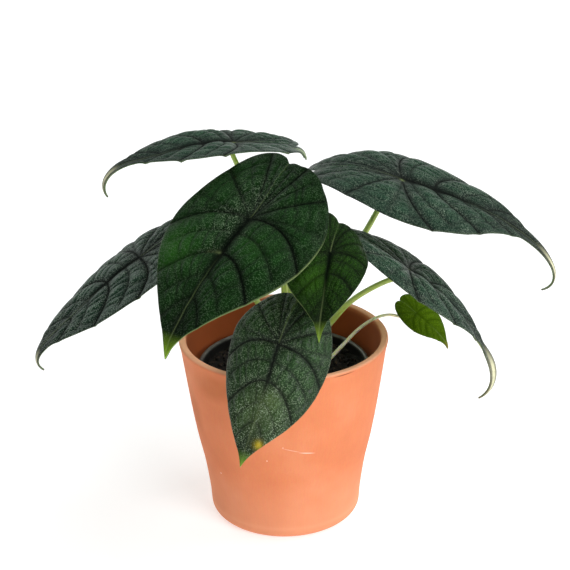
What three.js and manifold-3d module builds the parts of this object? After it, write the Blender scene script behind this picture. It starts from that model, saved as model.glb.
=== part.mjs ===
// A potted alocasia: eight quilted, drip-tipped leaves on slim petioles, growing from a short
// crown in dark potting soil, in a plastic grow pot that stands inside a tapered terracotta pot.
// Millimetres, +Z up. The origin is the centre of the terracotta pot's underside and the front
// of the plant looks along -Y.
import * as THREE from 'three';
import { mergeVertices } from 'three/addons/utils/BufferGeometryUtils.js';
import Module from 'manifold-3d';

// Driving dimensions

const CLEARANCE = 0.3;              // gap kept between pieces that touch on the real plant

const POT_HEIGHT = 133;
const POT_RIM_RADIUS = 72.5;
const POT_RIM_THICKNESS = 5;
const POT_RIM_ROUNDING = 1.2;
const POT_FLOOR = 8;
const POT_SEGMENTS = 48;
// Outer wall from the flat base up: radius, height. The wall has a soft waist near a third of
// its height and a faint crease under the rim.
const POT_OUTER = [
  [46, 0], [50, 1.2], [52.6, 4.2], [53.3, 8.5], [53.8, 16], [55.6, 30], [57.5, 42], [59.6, 52],
  [61.7, 62], [64.8, 80], [67.7, 100], [70.2, 118], [71.3, 126], [72.2, 130],
];
const POT_INNER = [
  [67.2, 129.5], [65.8, 118], [60.2, 80], [56.2, 58], [51.6, 38], [47.6, 12], [45.4, POT_FLOOR],
];

const GROW_RIM_RADIUS = 60;
const GROW_RIM_TOP = 112;
const GROW_LIP_HEIGHT = 5;
const GROW_LIP_REACH = 1.6;         // how far the lip stands out of the wall
const GROW_WALL = 1.2;
const GROW_BASE_RADIUS = 44;
const GROW_BASE = POT_FLOOR + CLEARANCE;
const GROW_SEGMENTS = 40;
const DRAIN_HOLES = 6;
const DRAIN_HOLE_SIDES = 8;
const DRAIN_HOLE_RADIUS = 4;
const DRAIN_CIRCLE_RADIUS = 30;

const SOIL_EDGE_HEIGHT = 105;
const SOIL_CROWNING = 2;            // the soil's middle stands this much above its edge
const SOIL_LUMP = 0.9;
const SOIL_SEGMENTS = 40;
const SOIL_RINGS = [14, 27, 39, 49];

const CROWN_CENTRE = [6, 7];
const CROWN_RADIUS = 6;
const CROWN_TOP = 114;
const CROWN_FOOT = 84;
const CROWN_SIDES = 12;
// The crown from its foot to its blunt top: how far in from its radius, and the height.
const CROWN_PROFILE = [
  [1, CROWN_FOOT], [0, CROWN_FOOT + 3], [0, CROWN_TOP - 5], [1.2, CROWN_TOP - 1.6], [3, CROWN_TOP],
];

const STEM_DEPTH = 14;              // how deep a petiole stands in the soil
const STEM_RING = 9;                // petioles stand on this circle round the crown
const STEM_SIDES = 8;
const STEM_RINGS = 18;
const STEM_FOOT_HEIGHT = SOIL_EDGE_HEIGHT + SOIL_CROWNING - STEM_DEPTH;
const STEM_UPRIGHT = 4;             // a petiole stands upright to this far above the soil
const STEM_APPROACH = 3;            // it meets the blade squarely over this many of its radii

const BLADE_THICKNESS = 1;
const BLADE_COLUMNS = 6;            // on each side of the midrib
const YOUNG_COLUMNS = 4;
const COLUMN_CROWDING = 1.25;       // above 1 the columns crowd towards the midrib
const RELIEF = 0.02;                // height of the quilting, as a share of the blade's length
const NORMAL_STEP = 0.002;          // half the reach over which a sheet's slope is measured

// The petiole joins the blade's underside at this share of its length, where the veins meet.
const JUNCTION = 0.29;

// Outline of half a blade, from the notch round a back lobe to the tip. Each point has its
// distance along the midrib from the notch, in blade lengths, its half width, in shares of the
// widest half width, and the row of the blade that ends there: the midrib station where the row
// starts, and how sharply it sweeps. Rows run as the side veins do: they fan out from the
// junction into the back lobes, and sweep forward ahead of it. The last three points are the
// drip tip.
const OUTLINE = [
  [-0.03, 0, JUNCTION, 1], [-0.06, 0.12, JUNCTION, 0.9], [-0.065, 0.34, JUNCTION, 0.9],
  [-0.02, 0.6, JUNCTION, 0.9], [0.07, 0.81, JUNCTION, 1], [0.19, 0.95, JUNCTION, 1.3],
  [0.32, 1, JUNCTION, 2], [0.45, 0.955, JUNCTION, 3], [0.57, 0.83, 0.39, 2.4],
  [0.68, 0.64, 0.5, 2], [0.775, 0.43, 0.62, 1.8], [0.85, 0.26, 0.73, 1.8],
  [0.9, 0.145, 0.82, 1.8], [0.95, 0.06, 0.91, 1.8], [1, 0, 1, 1],
];
const BODY_END = 0.9;               // where the drip tip starts in OUTLINE
const ROWS_PER_POINT = 2;
const YOUNG_ROWS_PER_POINT = 1;
const TIP_ROWS_PER_POINT = 3;
const TIP_POINT = 12;               // from this outline point on, rows are spaced for the drip tip
// Side veins lie in valleys along these rows: row number and strength. The first is the seam.
const VALLEYS = [[0, 0.5], [2, 0.9], [4, 0.8], [7, 1], [9, 1], [11, 0.8]];
const VALLEY_WIDTH = 0.45;          // in rows
const MIDRIB_VALLEY = 0.12;         // in shares of the half width
const JUNCTION_VALLEY = 0.35;       // the same for the rows that fan out of the junction
const QUILTING_END = 12.5;          // the row where the quilting has faded to its least
const QUILTING_LEAST = 0.25;
const MARGIN_FADE = 0.7;            // how far the cushions flatten out at the margin
const MARGIN_FADE_START = 0.6;      // in shares of the half width
// A back lobe that is smaller than its neighbour is drawn in by its leaf's number times these.
const LOBE_ROWS = [0, 1.5, 3.5, 5.5];
const LOBE_DRAWN = [0, 1, 1, 0];
// The rows that fan out of the junction end at the first of these, and the midrib's own narrow
// valley starts at the second.
const FAN_END = [7, 9];

// Stations along the midrib where a leaf's pitch angles are given.
const PITCH_STATIONS = [-0.08, JUNCTION, 0.55, 0.78, 0.9, 1];
const SPINE_START = -0.2;
const SPINE_STEPS = 240;
const SPINE_STEP = (1 - SPINE_START) / SPINE_STEPS;
const SPINE_SOFTENING = 7;          // pitch is averaged over this many steps each way

// The leaves. Angles are in degrees: heading of the tip seen from above, pitch of the midrib at
// each station, roll at the notch and at the tip, and for each half of the blade the slope at
// the midrib and the bend out to its margin. Lengths are in millimetres. tip is the drip tip's
// share of the length. A petiole's foot is its angle round the crown, and its path starts above
// the soil. The young leaf's petiole comes up by itself, beside the crown.
const LEAVES = [
  {
    name: 'top_left', junction: [-33, 46, 258], length: 162, heading: 213,
    pitch: [19, 11, -5, 0, -38, -136], roll: [-5, 2],
    left: { width: 44, slope: 6.5, bend: -2 }, right: { width: 46, slope: 8, bend: 39 },
    skew: 0.1, tip: 0.21,
    stem: {
      foot: 110, radius: [2.4, 1.7],
      path: [[5, 15, 140], [4, 15, 166], [-14, 26, 212], [-30, 41, 242]],
    },
  },
  {
    name: 'front_large', junction: [-20, -58, 240], length: 155, heading: -126,
    pitch: [-36, -23, -30, -38, -44, -76], roll: [6, -4],
    left: { width: 55, slope: 6, bend: 37, drawn: 0.11 }, right: { width: 51, slope: 4, bend: 0 },
    skew: 0.02, tip: 0.1,
    stem: { foot: 225, radius: [2.6, 1.9], path: [[0, -3, 140], [1, -12, 173], [-4, -32, 209]] },
  },
  {
    name: 'far_left', junction: [-98, 10, 188], length: 156, heading: 205,
    pitch: [-14, -28, -38, -34, -55, -150], roll: [-2, -1],
    left: { width: 45, slope: -5, bend: -11 }, right: { width: 44, slope: -1, bend: 32 },
    skew: 0, tip: 0.15,
    stem: {
      foot: 168, radius: [2.4, 1.7],
      path: [[-9, 6, 138], [-21, 4, 160], [-52, 6, 177], [-84, 9, 181]],
    },
  },
  {
    name: 'upper_right', junction: [84, 52, 228], length: 209, heading: -29,
    pitch: [24, -11, -13, -31, -62, -168], roll: [3, -5],
    left: { width: 55, slope: 5, bend: 25 }, right: { width: 58, slope: 6, bend: 21 },
    skew: -0.16, tip: 0.25,
    stem: {
      foot: 62, radius: [2.6, 1.9],
      path: [[16, 18, 128], [30, 26, 148], [44, 36, 170], [58, 43, 191], [75, 50, 217]],
    },
  },
  {
    name: 'lower_right', junction: [84, -22, 189.5], length: 164, heading: -38,
    pitch: [-7, -21, -36, -55, -107, -147], roll: [-11, -17],
    left: { width: 38, slope: -7, bend: 2 }, right: { width: 41, slope: 20, bend: 34 },
    skew: -0.11, tip: 0.28,
    stem: {
      foot: 13, radius: [2.4, 1.8],
      path: [[21, 7, 123], [33, 0, 142], [45, -8, 160], [58, -14, 172], [72, -19, 181]],
    },
  },
  {
    name: 'front_small', junction: [30, -70, 221], length: 84, heading: -104,
    pitch: [-4, -39, -49, -54, -74, -96], roll: [-40, -3],
    left: { width: 28.5, slope: 3, bend: 24 }, right: { width: 27.5, slope: 20, bend: 31 },
    skew: -0.12, tip: 0.16,
    stem: { foot: 325, radius: [2.1, 1.5], path: [[12, -5, 138], [15, -20, 168], [24, -47, 200]] },
  },
  {
    name: 'front_low', junction: [-3, -86, 166], length: 114, heading: -124,
    pitch: [-18, -57, -59, -51, -57, -59], roll: [-9, -11],
    left: { width: 36, slope: -14, bend: 34 },
    right: { width: 40, slope: -10, bend: 21, drawn: 0.12 },
    skew: 0.02, tip: 0.09,
    stem: { foot: 275, radius: [2.2, 1.6], path: [[6, -10, 136], [4, -36, 158], [0, -66, 163]] },
  },
  {
    name: 'young', junction: [94, 22, 138], length: 49, heading: -42,
    pitch: [-15, -23, -28, -35, -39, -83], roll: [2, 2],
    left: { width: 17, slope: 8, bend: 14 }, right: { width: 16, slope: 5, bend: 16 },
    skew: -0.09, tip: 0.125, rowsPerPoint: YOUNG_ROWS_PER_POINT, columns: YOUNG_COLUMNS,
    stem: {
      at: [28, 6], radius: [1.4, 1],
      path: [[31, 7, 110], [41, 12, 118], [54, 18, 129], [66, 21, 135.5], [75, 22, 137], [85, 22, 135]],
    },
  },
];

// Materials

function material(name, color, roughness) {
  return new THREE.MeshStandardMaterial({ name, color, roughness, metalness: 0 });
}

const terracotta = material('terracotta', 0xd98a66, 0.85);
const darkPlastic = material('dark_plastic', 0x2b2d2c, 0.5);
const soilMaterial = material('potting_soil', 0x1c1512, 1);
const crownMaterial = material('crown_skin', 0x6f6a3c, 0.8);
const petioleMaterial = material('petiole', 0xa3b85f, 0.5);
const bladeMaterial = material('leaf_blade', 0x24402f, 0.45);
const youngMaterial = material('young_leaf_blade', 0x5d7a24, 0.45);

const plant = new THREE.Group();

function addPiece(name, geometry, surface) {
  const mesh = new THREE.Mesh(geometry, surface);
  mesh.name = name;
  plant.add(mesh);
}

// Solids

const wasm = await Module();
wasm.setup();

function toSolid(geometry) {
  geometry.deleteAttribute('normal');
  geometry.deleteAttribute('uv');
  const merged = mergeVertices(geometry, 1e-3);
  return new wasm.Manifold(new wasm.Mesh({
    numProp: 3,
    vertProperties: new Float32Array(merged.attributes.position.array),
    triVerts: new Uint32Array(merged.index.array),
  }));
}

function toGeometry(solid) {
  const mesh = solid.getMesh();
  const geometry = new THREE.BufferGeometry();
  const positions = new Float32Array(mesh.vertProperties);
  geometry.setAttribute('position', new THREE.BufferAttribute(positions, 3));
  geometry.setIndex(new THREE.BufferAttribute(new Uint32Array(mesh.triVerts), 1));
  return geometry;
}

function meshFrom(vertices, triangles) {
  const geometry = new THREE.BufferGeometry();
  geometry.setAttribute('position', new THREE.Float32BufferAttribute(vertices.flat(), 3));
  geometry.setIndex(triangles);
  return geometry;
}

// A profile of radius and height, listed up the outside and down the inside, turned about Z.
function turned(profile, segments) {
  const lathe = new THREE.LatheGeometry(profile.map(([r, z]) => new THREE.Vector2(r, z)), segments);
  lathe.rotateX(Math.PI / 2);
  return lathe;
}

// A plain upright hole or peg of a given radius between two heights.
function uprightPeg(x, y, radius, low, high, sides) {
  const peg = new THREE.CylinderGeometry(radius, radius, high - low, sides);
  peg.rotateX(Math.PI / 2);
  peg.translate(x, y, (low + high) / 2);
  return peg;
}

// The value at a place between stations, on straight lines from one to the next.
function interpolate(stations, values, at) {
  const last = stations.length - 1;
  const place = THREE.MathUtils.clamp(at, stations[0], stations[last]);
  let i = 0;
  while (i < last - 1 && stations[i + 1] < place) {
    i += 1;
  }
  const share = (place - stations[i]) / (stations[i + 1] - stations[i]);
  return THREE.MathUtils.lerp(values[i], values[i + 1], share);
}

// A repeatable draw between 0 and 1 for the whole number n.
function draw(n) {
  const value = Math.sin(n * 127.1 + 11.7) * 43758.5453;
  return value - Math.floor(value);
}

// Pots

function terracottaPot() {
  const rim = [
    [POT_RIM_RADIUS, POT_HEIGHT - POT_RIM_ROUNDING],
    [POT_RIM_RADIUS - POT_RIM_ROUNDING, POT_HEIGHT],
    [POT_RIM_RADIUS - POT_RIM_THICKNESS + POT_RIM_ROUNDING, POT_HEIGHT],
  ];
  return turned([[0, 0], ...POT_OUTER, ...rim, ...POT_INNER, [0, POT_FLOOR]], POT_SEGMENTS);
}

function growWallRadius(z) {
  const share = (z - GROW_BASE) / (GROW_RIM_TOP - GROW_BASE);
  return GROW_BASE_RADIUS + (GROW_RIM_RADIUS - GROW_LIP_REACH - GROW_BASE_RADIUS) * share;
}

function growPot() {
  const lipFoot = GROW_RIM_TOP - GROW_LIP_HEIGHT;
  const inside = (z) => growWallRadius(z) - GROW_WALL;
  const shell = turned([
    [0, GROW_BASE],
    [growWallRadius(GROW_BASE), GROW_BASE],
    [growWallRadius(lipFoot), lipFoot],
    [GROW_RIM_RADIUS, lipFoot],
    [GROW_RIM_RADIUS, GROW_RIM_TOP],
    [inside(GROW_RIM_TOP), GROW_RIM_TOP],
    [inside(GROW_BASE + GROW_WALL), GROW_BASE + GROW_WALL],
    [0, GROW_BASE + GROW_WALL],
  ], GROW_SEGMENTS);
  let solid = toSolid(shell);
  for (let i = 0; i < DRAIN_HOLES; i += 1) {
    const angle = (i / DRAIN_HOLES) * 2 * Math.PI;
    const x = DRAIN_CIRCLE_RADIUS * Math.cos(angle);
    const y = DRAIN_CIRCLE_RADIUS * Math.sin(angle);
    const low = GROW_BASE - GROW_WALL;
    const hole = uprightPeg(x, y, DRAIN_HOLE_RADIUS, low, low + 3 * GROW_WALL, DRAIN_HOLE_SIDES);
    solid = solid.subtract(toSolid(hole));
  }
  return toGeometry(solid);
}

// Blades

const outlineCurve = new THREE.CatmullRomCurve3(
  OUTLINE.map(([along, across]) => new THREE.Vector3(along, across, 0)), false, 'catmullrom', 0.5,
);
const ROW_NUMBERS = OUTLINE.map((point, number) => number);

// A leaf's drip tip takes its own share of the length, and the body shrinks to match.
function fitTip(leaf, along) {
  if (along > BODY_END) return 1 - leaf.tip * (1 - along) / (1 - BODY_END);
  return along > 0 ? along * (1 - leaf.tip) / BODY_END : along;
}

// The place on the flattened blade at a row and at a share of the way from midrib to margin.
// side is 1 on the left of someone who looks to the tip and -1 on the right.
function flatPlace(leaf, row, share, side) {
  const edge = outlineCurve.getPoint(row / (OUTLINE.length - 1));
  const half = side > 0 ? leaf.left : leaf.right;
  const drawn = (half.drawn || 0) * interpolate(LOBE_ROWS, LOBE_DRAWN, row);
  edge.x += drawn * (JUNCTION - Math.min(edge.x, JUNCTION));
  edge.y *= 1 - drawn;
  const start = interpolate(ROW_NUMBERS, OUTLINE.map((point) => point[2]), row);
  const sweep = interpolate(ROW_NUMBERS, OUTLINE.map((point) => point[3]), row);
  const from = start > JUNCTION ? Math.max(JUNCTION, fitTip(leaf, start)) : JUNCTION;
  const along = from + (fitTip(leaf, edge.x) - from) * Math.pow(share, sweep);
  return [along, side * Math.max(edge.y, 0) * share];
}

// The midrib as a plane curve: distance out, height and pitch at even steps of its length.
function makeSpine(leaf) {
  const stations = [];
  const raw = [];
  for (let i = 0; i <= SPINE_STEPS; i += 1) {
    const station = SPINE_START + i * SPINE_STEP;
    stations.push(station);
    raw.push(THREE.MathUtils.degToRad(interpolate(PITCH_STATIONS, leaf.pitch, station)));
  }
  const pitch = [];
  for (let i = 0; i <= SPINE_STEPS; i += 1) {
    let sum = 0;
    for (let k = -SPINE_SOFTENING; k <= SPINE_SOFTENING; k += 1) {
      sum += raw[THREE.MathUtils.clamp(i + k, 0, SPINE_STEPS)];
    }
    pitch.push(sum / (2 * SPINE_SOFTENING + 1));
  }
  const out = [0];
  const height = [0];
  for (let i = 1; i <= SPINE_STEPS; i += 1) {
    const reach = leaf.length * SPINE_STEP / 2;
    out.push(out[i - 1] + reach * (Math.cos(pitch[i]) + Math.cos(pitch[i - 1])));
    height.push(height[i - 1] + reach * (Math.sin(pitch[i]) + Math.sin(pitch[i - 1])));
  }
  const outThere = interpolate(stations, out, JUNCTION);
  const heightThere = interpolate(stations, height, JUNCTION);
  return {
    stations,
    pitch,
    out: out.map((value) => value - outThere),
    height: height.map((value) => value - heightThere),
  };
}

// The smooth sheet of a blade, without quilting. along is the distance from the notch in blade
// lengths and across is in half widths, positive on the left of someone who looks to the tip.
function sheetPoint(leaf, spine, along, across) {
  const shifted = along + leaf.skew * across * THREE.MathUtils.clamp((1 - along) * 2, 0, 1);
  const half = across >= 0 ? leaf.left : leaf.right;
  const heading = THREE.MathUtils.degToRad(leaf.heading);
  const pitch = interpolate(spine.stations, spine.pitch, shifted);
  const ahead = new THREE.Vector3(Math.cos(heading), Math.sin(heading), 0);
  const level = new THREE.Vector3(-Math.sin(heading), Math.cos(heading), 0);
  const up = new THREE.Vector3(0, 0, 1);
  const tangent = ahead.clone().multiplyScalar(Math.cos(pitch)).addScaledVector(up, Math.sin(pitch));
  const upright = tangent.clone().cross(level);
  const roll = THREE.MathUtils.degToRad(interpolate([0, 1], leaf.roll, shifted));
  const side = level.clone().multiplyScalar(Math.cos(roll)).addScaledVector(upright, Math.sin(roll));
  const normal = upright.clone().multiplyScalar(Math.cos(roll)).addScaledVector(level, -Math.sin(roll));
  const reach = Math.abs(across) * half.width;
  const slope = THREE.MathUtils.degToRad(half.slope);
  const bend = THREE.MathUtils.degToRad(half.bend || 0.001) / half.width;
  const sideways = (Math.sin(slope) - Math.sin(slope - bend * reach)) / bend;
  const upwards = (Math.cos(slope - bend * reach) - Math.cos(slope)) / bend;
  return new THREE.Vector3(...leaf.junction)
    .addScaledVector(ahead, interpolate(spine.stations, spine.out, shifted))
    .addScaledVector(up, interpolate(spine.stations, spine.height, shifted))
    .addScaledVector(side, Math.sign(across) * sideways)
    .addScaledVector(normal, upwards);
}

function sheetNormal(leaf, spine, along, across) {
  const lengthwise = sheetPoint(leaf, spine, along + NORMAL_STEP, across)
    .sub(sheetPoint(leaf, spine, along - NORMAL_STEP, across));
  const crosswise = sheetPoint(leaf, spine, along, across + NORMAL_STEP)
    .sub(sheetPoint(leaf, spine, along, across - NORMAL_STEP));
  return lengthwise.cross(crosswise).normalize();
}

// Quilting: 1 on top of a cushion, sinking towards 0 on a strong vein.
function quilting(row, share) {
  let height = 1;
  for (const [vein, strength] of VALLEYS) {
    const reach = (row - vein) / VALLEY_WIDTH;
    height = Math.min(height, 1 - strength * Math.exp(-reach * reach));
  }
  const fromMidrib = share / interpolate(FAN_END, [JUNCTION_VALLEY, MIDRIB_VALLEY], row);
  const toMargin = Math.max(0, (share - MARGIN_FADE_START) / (1 - MARGIN_FADE_START));
  const fade = THREE.MathUtils.clamp(QUILTING_END - row, QUILTING_LEAST, 1)
    * (1 - MARGIN_FADE * toMargin * toMargin);
  return height * (1 - Math.exp(-fromMidrib * fromMidrib)) * fade;
}

// Rows of a blade, as outline point numbers.
function bladeRows(perPoint) {
  const rows = [];
  for (let i = 0; i < TIP_POINT * perPoint; i += 1) {
    rows.push(i / perPoint);
  }
  const last = OUTLINE.length - 1;
  for (let i = TIP_POINT * TIP_ROWS_PER_POINT; i <= last * TIP_ROWS_PER_POINT; i += 1) {
    rows.push(i / TIP_ROWS_PER_POINT);
  }
  return rows;
}

// A blade: the sheet is raised by the quilting, given its thickness and closed along the
// margin. Both faces are split into triangles alike.
function blade(leaf) {
  const rows = bladeRows(leaf.rowsPerPoint || ROWS_PER_POINT);
  const columns = leaf.columns || BLADE_COLUMNS;
  const spine = makeSpine(leaf);
  const vertices = [];
  const known = new Map();
  // Rows meet at the junction and at the tip, so a place that comes again keeps its vertex.
  const place = (row, share, side) => {
    const [along, across] = flatPlace(leaf, row, share, side);
    const key = `${along.toFixed(5)} ${across.toFixed(5)}`;
    if (!known.has(key)) {
      const normal = sheetNormal(leaf, spine, along, across);
      const lift = RELIEF * leaf.length * quilting(row, share);
      const point = sheetPoint(leaf, spine, along, across);
      known.set(key, vertices.length / 2);
      vertices.push(point.clone().addScaledVector(normal, lift).toArray());
      vertices.push(point.clone().addScaledVector(normal, lift - BLADE_THICKNESS).toArray());
    }
    return known.get(key);
  };
  const triangles = [];
  const triangle = (a, b, c) => {
    if (a !== b && b !== c && a !== c) {
      triangles.push(a, b, c);
    }
  };
  const top = (k) => 2 * k;
  const under = (k) => 2 * k + 1;
  for (const side of [1, -1]) {
    const grid = rows.map((row) => {
      const line = [];
      for (let j = 0; j <= columns; j += 1) {
        line.push(place(row, (j / columns) ** COLUMN_CROWDING, side));
      }
      return line;
    });
    for (let i = 0; i + 1 < rows.length; i += 1) {
      for (let j = 0; j < columns; j += 1) {
        const [a, b] = [grid[i][j], grid[i][j + 1]];
        const [d, c] = [grid[i + 1][j], grid[i + 1][j + 1]];
        for (const [p, q, r] of [[a, d, c], [a, c, b]]) {
          triangle(...(side > 0 ? [p, q, r] : [p, r, q]).map(top));
          triangle(...(side > 0 ? [p, r, q] : [p, q, r]).map(under));
        }
      }
      const [start, end] = side > 0 ? [grid[i], grid[i + 1]] : [grid[i + 1], grid[i]];
      const [a, d] = [start[columns], end[columns]];
      triangle(top(a), top(d), under(d));
      triangle(top(a), under(d), under(a));
    }
  }
  return meshFrom(vertices, triangles);
}

// Petioles

function stemFoot(leaf) {
  if (leaf.stem.at) return leaf.stem.at;
  const angle = THREE.MathUtils.degToRad(leaf.stem.foot);
  const [x, y] = CROWN_CENTRE;
  return [x + STEM_RING * Math.cos(angle), y + STEM_RING * Math.sin(angle)];
}

// A petiole stands upright in its hole, follows its path and meets the blade squarely from below.
function petiole(leaf) {
  const [x, y] = stemFoot(leaf);
  const spine = makeSpine(leaf);
  const normal = sheetNormal(leaf, spine, JUNCTION, 0);
  // Where the halves of the blade slope down from the midrib, the seat is that much lower.
  const droop = Math.max(0, -leaf.left.slope, -leaf.right.slope);
  const lower = leaf.stem.radius[1] * Math.tan(THREE.MathUtils.degToRad(droop));
  const seat = new THREE.Vector3(...leaf.junction)
    .addScaledVector(normal, -BLADE_THICKNESS - CLEARANCE - lower);
  const approach = seat.clone().addScaledVector(normal, -STEM_APPROACH * leaf.stem.radius[1]);
  const points = [
    new THREE.Vector3(x, y, STEM_FOOT_HEIGHT),
    new THREE.Vector3(x, y, STEM_FOOT_HEIGHT + STEM_DEPTH + STEM_UPRIGHT / 2),
    new THREE.Vector3(x, y, STEM_FOOT_HEIGHT + STEM_DEPTH + STEM_UPRIGHT),
    ...leaf.stem.path.map((point) => new THREE.Vector3(...point)),
    approach,
    seat,
  ];
  const route = new THREE.CatmullRomCurve3(points, false, 'centripetal');
  const vertices = [];
  let across = new THREE.Vector3(1, 0, 0);
  for (let i = 0; i <= STEM_RINGS; i += 1) {
    const share = i / STEM_RINGS;
    const centre = route.getPointAt(share);
    const ahead = route.getTangentAt(share);
    across = across.addScaledVector(ahead, -across.dot(ahead)).normalize();
    const other = ahead.clone().cross(across);
    const radius = THREE.MathUtils.lerp(leaf.stem.radius[0], leaf.stem.radius[1], share);
    for (let k = 0; k < STEM_SIDES; k += 1) {
      const angle = (k / STEM_SIDES) * 2 * Math.PI;
      vertices.push(centre.clone()
        .addScaledVector(across, radius * Math.cos(angle))
        .addScaledVector(other, radius * Math.sin(angle)).toArray());
    }
  }
  const triangles = [];
  for (let i = 0; i < STEM_RINGS; i += 1) {
    for (let k = 0; k < STEM_SIDES; k += 1) {
      const next = (k + 1) % STEM_SIDES;
      const a = i * STEM_SIDES + k;
      const b = i * STEM_SIDES + next;
      triangles.push(a, b, b + STEM_SIDES, a, b + STEM_SIDES, a + STEM_SIDES);
    }
  }
  const lastRing = STEM_RINGS * STEM_SIDES;
  for (let k = 1; k < STEM_SIDES - 1; k += 1) {
    triangles.push(0, k + 1, k);
    triangles.push(lastRing, lastRing + k, lastRing + k + 1);
  }
  return meshFrom(vertices, triangles);
}

// Soil and crown

function soil() {
  const foot = GROW_BASE + GROW_WALL + CLEARANCE;
  const wall = (z) => growWallRadius(z) - GROW_WALL - CLEARANCE;
  const radii = [...SOIL_RINGS, wall(SOIL_EDGE_HEIGHT)];
  const vertices = [[0, 0, SOIL_EDGE_HEIGHT + SOIL_CROWNING]];
  radii.forEach((radius, ring) => {
    for (let k = 0; k < SOIL_SEGMENTS; k += 1) {
      const angle = (k / SOIL_SEGMENTS) * 2 * Math.PI;
      const edge = ring === radii.length - 1;
      const lump = edge ? 0 : SOIL_LUMP * (2 * draw(ring * SOIL_SEGMENTS + k) - 1);
      const crowning = SOIL_CROWNING * (1 - (radius / radii.at(-1)) ** 2);
      const height = SOIL_EDGE_HEIGHT + crowning + lump;
      vertices.push([radius * Math.cos(angle), radius * Math.sin(angle), height]);
    }
  });
  for (let k = 0; k < SOIL_SEGMENTS; k += 1) {
    const angle = (k / SOIL_SEGMENTS) * 2 * Math.PI;
    vertices.push([wall(foot) * Math.cos(angle), wall(foot) * Math.sin(angle), foot]);
  }
  vertices.push([0, 0, foot]);
  const triangles = [];
  const at = (ring, k) => 1 + ring * SOIL_SEGMENTS + (k % SOIL_SEGMENTS);
  for (let k = 0; k < SOIL_SEGMENTS; k += 1) {
    triangles.push(0, at(0, k), at(0, k + 1));
    for (let ring = 0; ring < radii.length; ring += 1) {
      triangles.push(at(ring, k), at(ring + 1, k), at(ring + 1, k + 1));
      triangles.push(at(ring, k), at(ring + 1, k + 1), at(ring, k + 1));
    }
    triangles.push(vertices.length - 1, at(radii.length, k + 1), at(radii.length, k));
  }
  let solid = toSolid(meshFrom(vertices, triangles));
  const above = 2 * SOIL_EDGE_HEIGHT;
  for (const leaf of LEAVES) {
    const [x, y] = stemFoot(leaf);
    const radius = leaf.stem.radius[0] + CLEARANCE;
    const hole = uprightPeg(x, y, radius, STEM_FOOT_HEIGHT - CLEARANCE, above, STEM_SIDES);
    solid = solid.subtract(toSolid(hole));
  }
  const socketRadius = CROWN_RADIUS + CLEARANCE;
  const socketFoot = CROWN_FOOT - CLEARANCE;
  const socket = uprightPeg(...CROWN_CENTRE, socketRadius, socketFoot, above, CROWN_SIDES);
  solid = solid.subtract(toSolid(socket));
  return toGeometry(solid);
}

// The short stem that the petioles spring from, with a blunt top.
function crown() {
  const profile = CROWN_PROFILE.map(([inset, height]) => [CROWN_RADIUS - inset, height]);
  const body = turned([[0, CROWN_FOOT], ...profile, [0, CROWN_TOP]], CROWN_SIDES);
  body.translate(...CROWN_CENTRE, 0);
  return body;
}

addPiece('terracotta_pot', terracottaPot(), terracotta);
addPiece('grow_pot', growPot(), darkPlastic);
addPiece('potting_soil', soil(), soilMaterial);
addPiece('crown', crown(), crownMaterial);
for (const leaf of LEAVES) {
  addPiece(`petiole_${leaf.name}`, petiole(leaf), petioleMaterial);
  addPiece(`blade_${leaf.name}`, blade(leaf), leaf.name === 'young' ? youngMaterial : bladeMaterial);
}

export default plant;
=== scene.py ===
# %% [markdown]
# # A potted alocasia
# The plant is a young alocasia with eight leaves. It stands in a black plastic grow pot, and
# the grow pot stands in a tapered terracotta pot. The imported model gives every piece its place
# and size, and it comes in as a fixed frame. Each cell below makes one piece or one finish and
# says why it is made that way. Everything is in metres, with +Z up and the front along -Y.

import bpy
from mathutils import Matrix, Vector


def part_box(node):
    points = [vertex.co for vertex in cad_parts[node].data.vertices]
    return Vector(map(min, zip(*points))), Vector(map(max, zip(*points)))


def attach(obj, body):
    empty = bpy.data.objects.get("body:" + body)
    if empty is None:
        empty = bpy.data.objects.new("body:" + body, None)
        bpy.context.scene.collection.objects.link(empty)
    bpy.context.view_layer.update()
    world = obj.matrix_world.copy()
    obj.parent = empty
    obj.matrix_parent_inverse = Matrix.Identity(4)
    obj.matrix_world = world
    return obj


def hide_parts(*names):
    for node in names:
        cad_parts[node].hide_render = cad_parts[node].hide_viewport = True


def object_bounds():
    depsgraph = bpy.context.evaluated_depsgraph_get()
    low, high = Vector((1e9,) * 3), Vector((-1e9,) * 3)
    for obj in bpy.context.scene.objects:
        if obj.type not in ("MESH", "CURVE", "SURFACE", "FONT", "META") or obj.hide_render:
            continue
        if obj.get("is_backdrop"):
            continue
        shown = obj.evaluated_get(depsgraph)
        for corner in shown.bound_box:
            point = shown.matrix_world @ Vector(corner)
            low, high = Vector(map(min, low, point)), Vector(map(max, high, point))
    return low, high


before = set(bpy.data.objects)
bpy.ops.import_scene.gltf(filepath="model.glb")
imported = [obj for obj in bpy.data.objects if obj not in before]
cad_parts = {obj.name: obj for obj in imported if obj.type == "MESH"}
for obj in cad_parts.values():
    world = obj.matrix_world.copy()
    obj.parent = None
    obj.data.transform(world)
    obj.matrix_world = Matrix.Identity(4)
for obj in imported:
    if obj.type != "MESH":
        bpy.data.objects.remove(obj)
cad_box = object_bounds()
print("nodes in the frame:", len(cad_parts))

# %% [markdown]
# ## Small tools
# A colour is easiest to read as the hex value that a screen shows, but a renderer mixes light
# in linear values, so one function turns the one into the other. A shader is a small network
# of nodes, so a second function adds a node with its settings and its links. It works for any
# kind of node, which keeps each material below to a short list of steps. Most finishes are
# layers: a base colour, and tints laid over it where the surface is worn, wet or veined.

# %% Colours
import bpy
import numpy as np
from mathutils import Matrix, Vector

MM = 0.001


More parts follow.
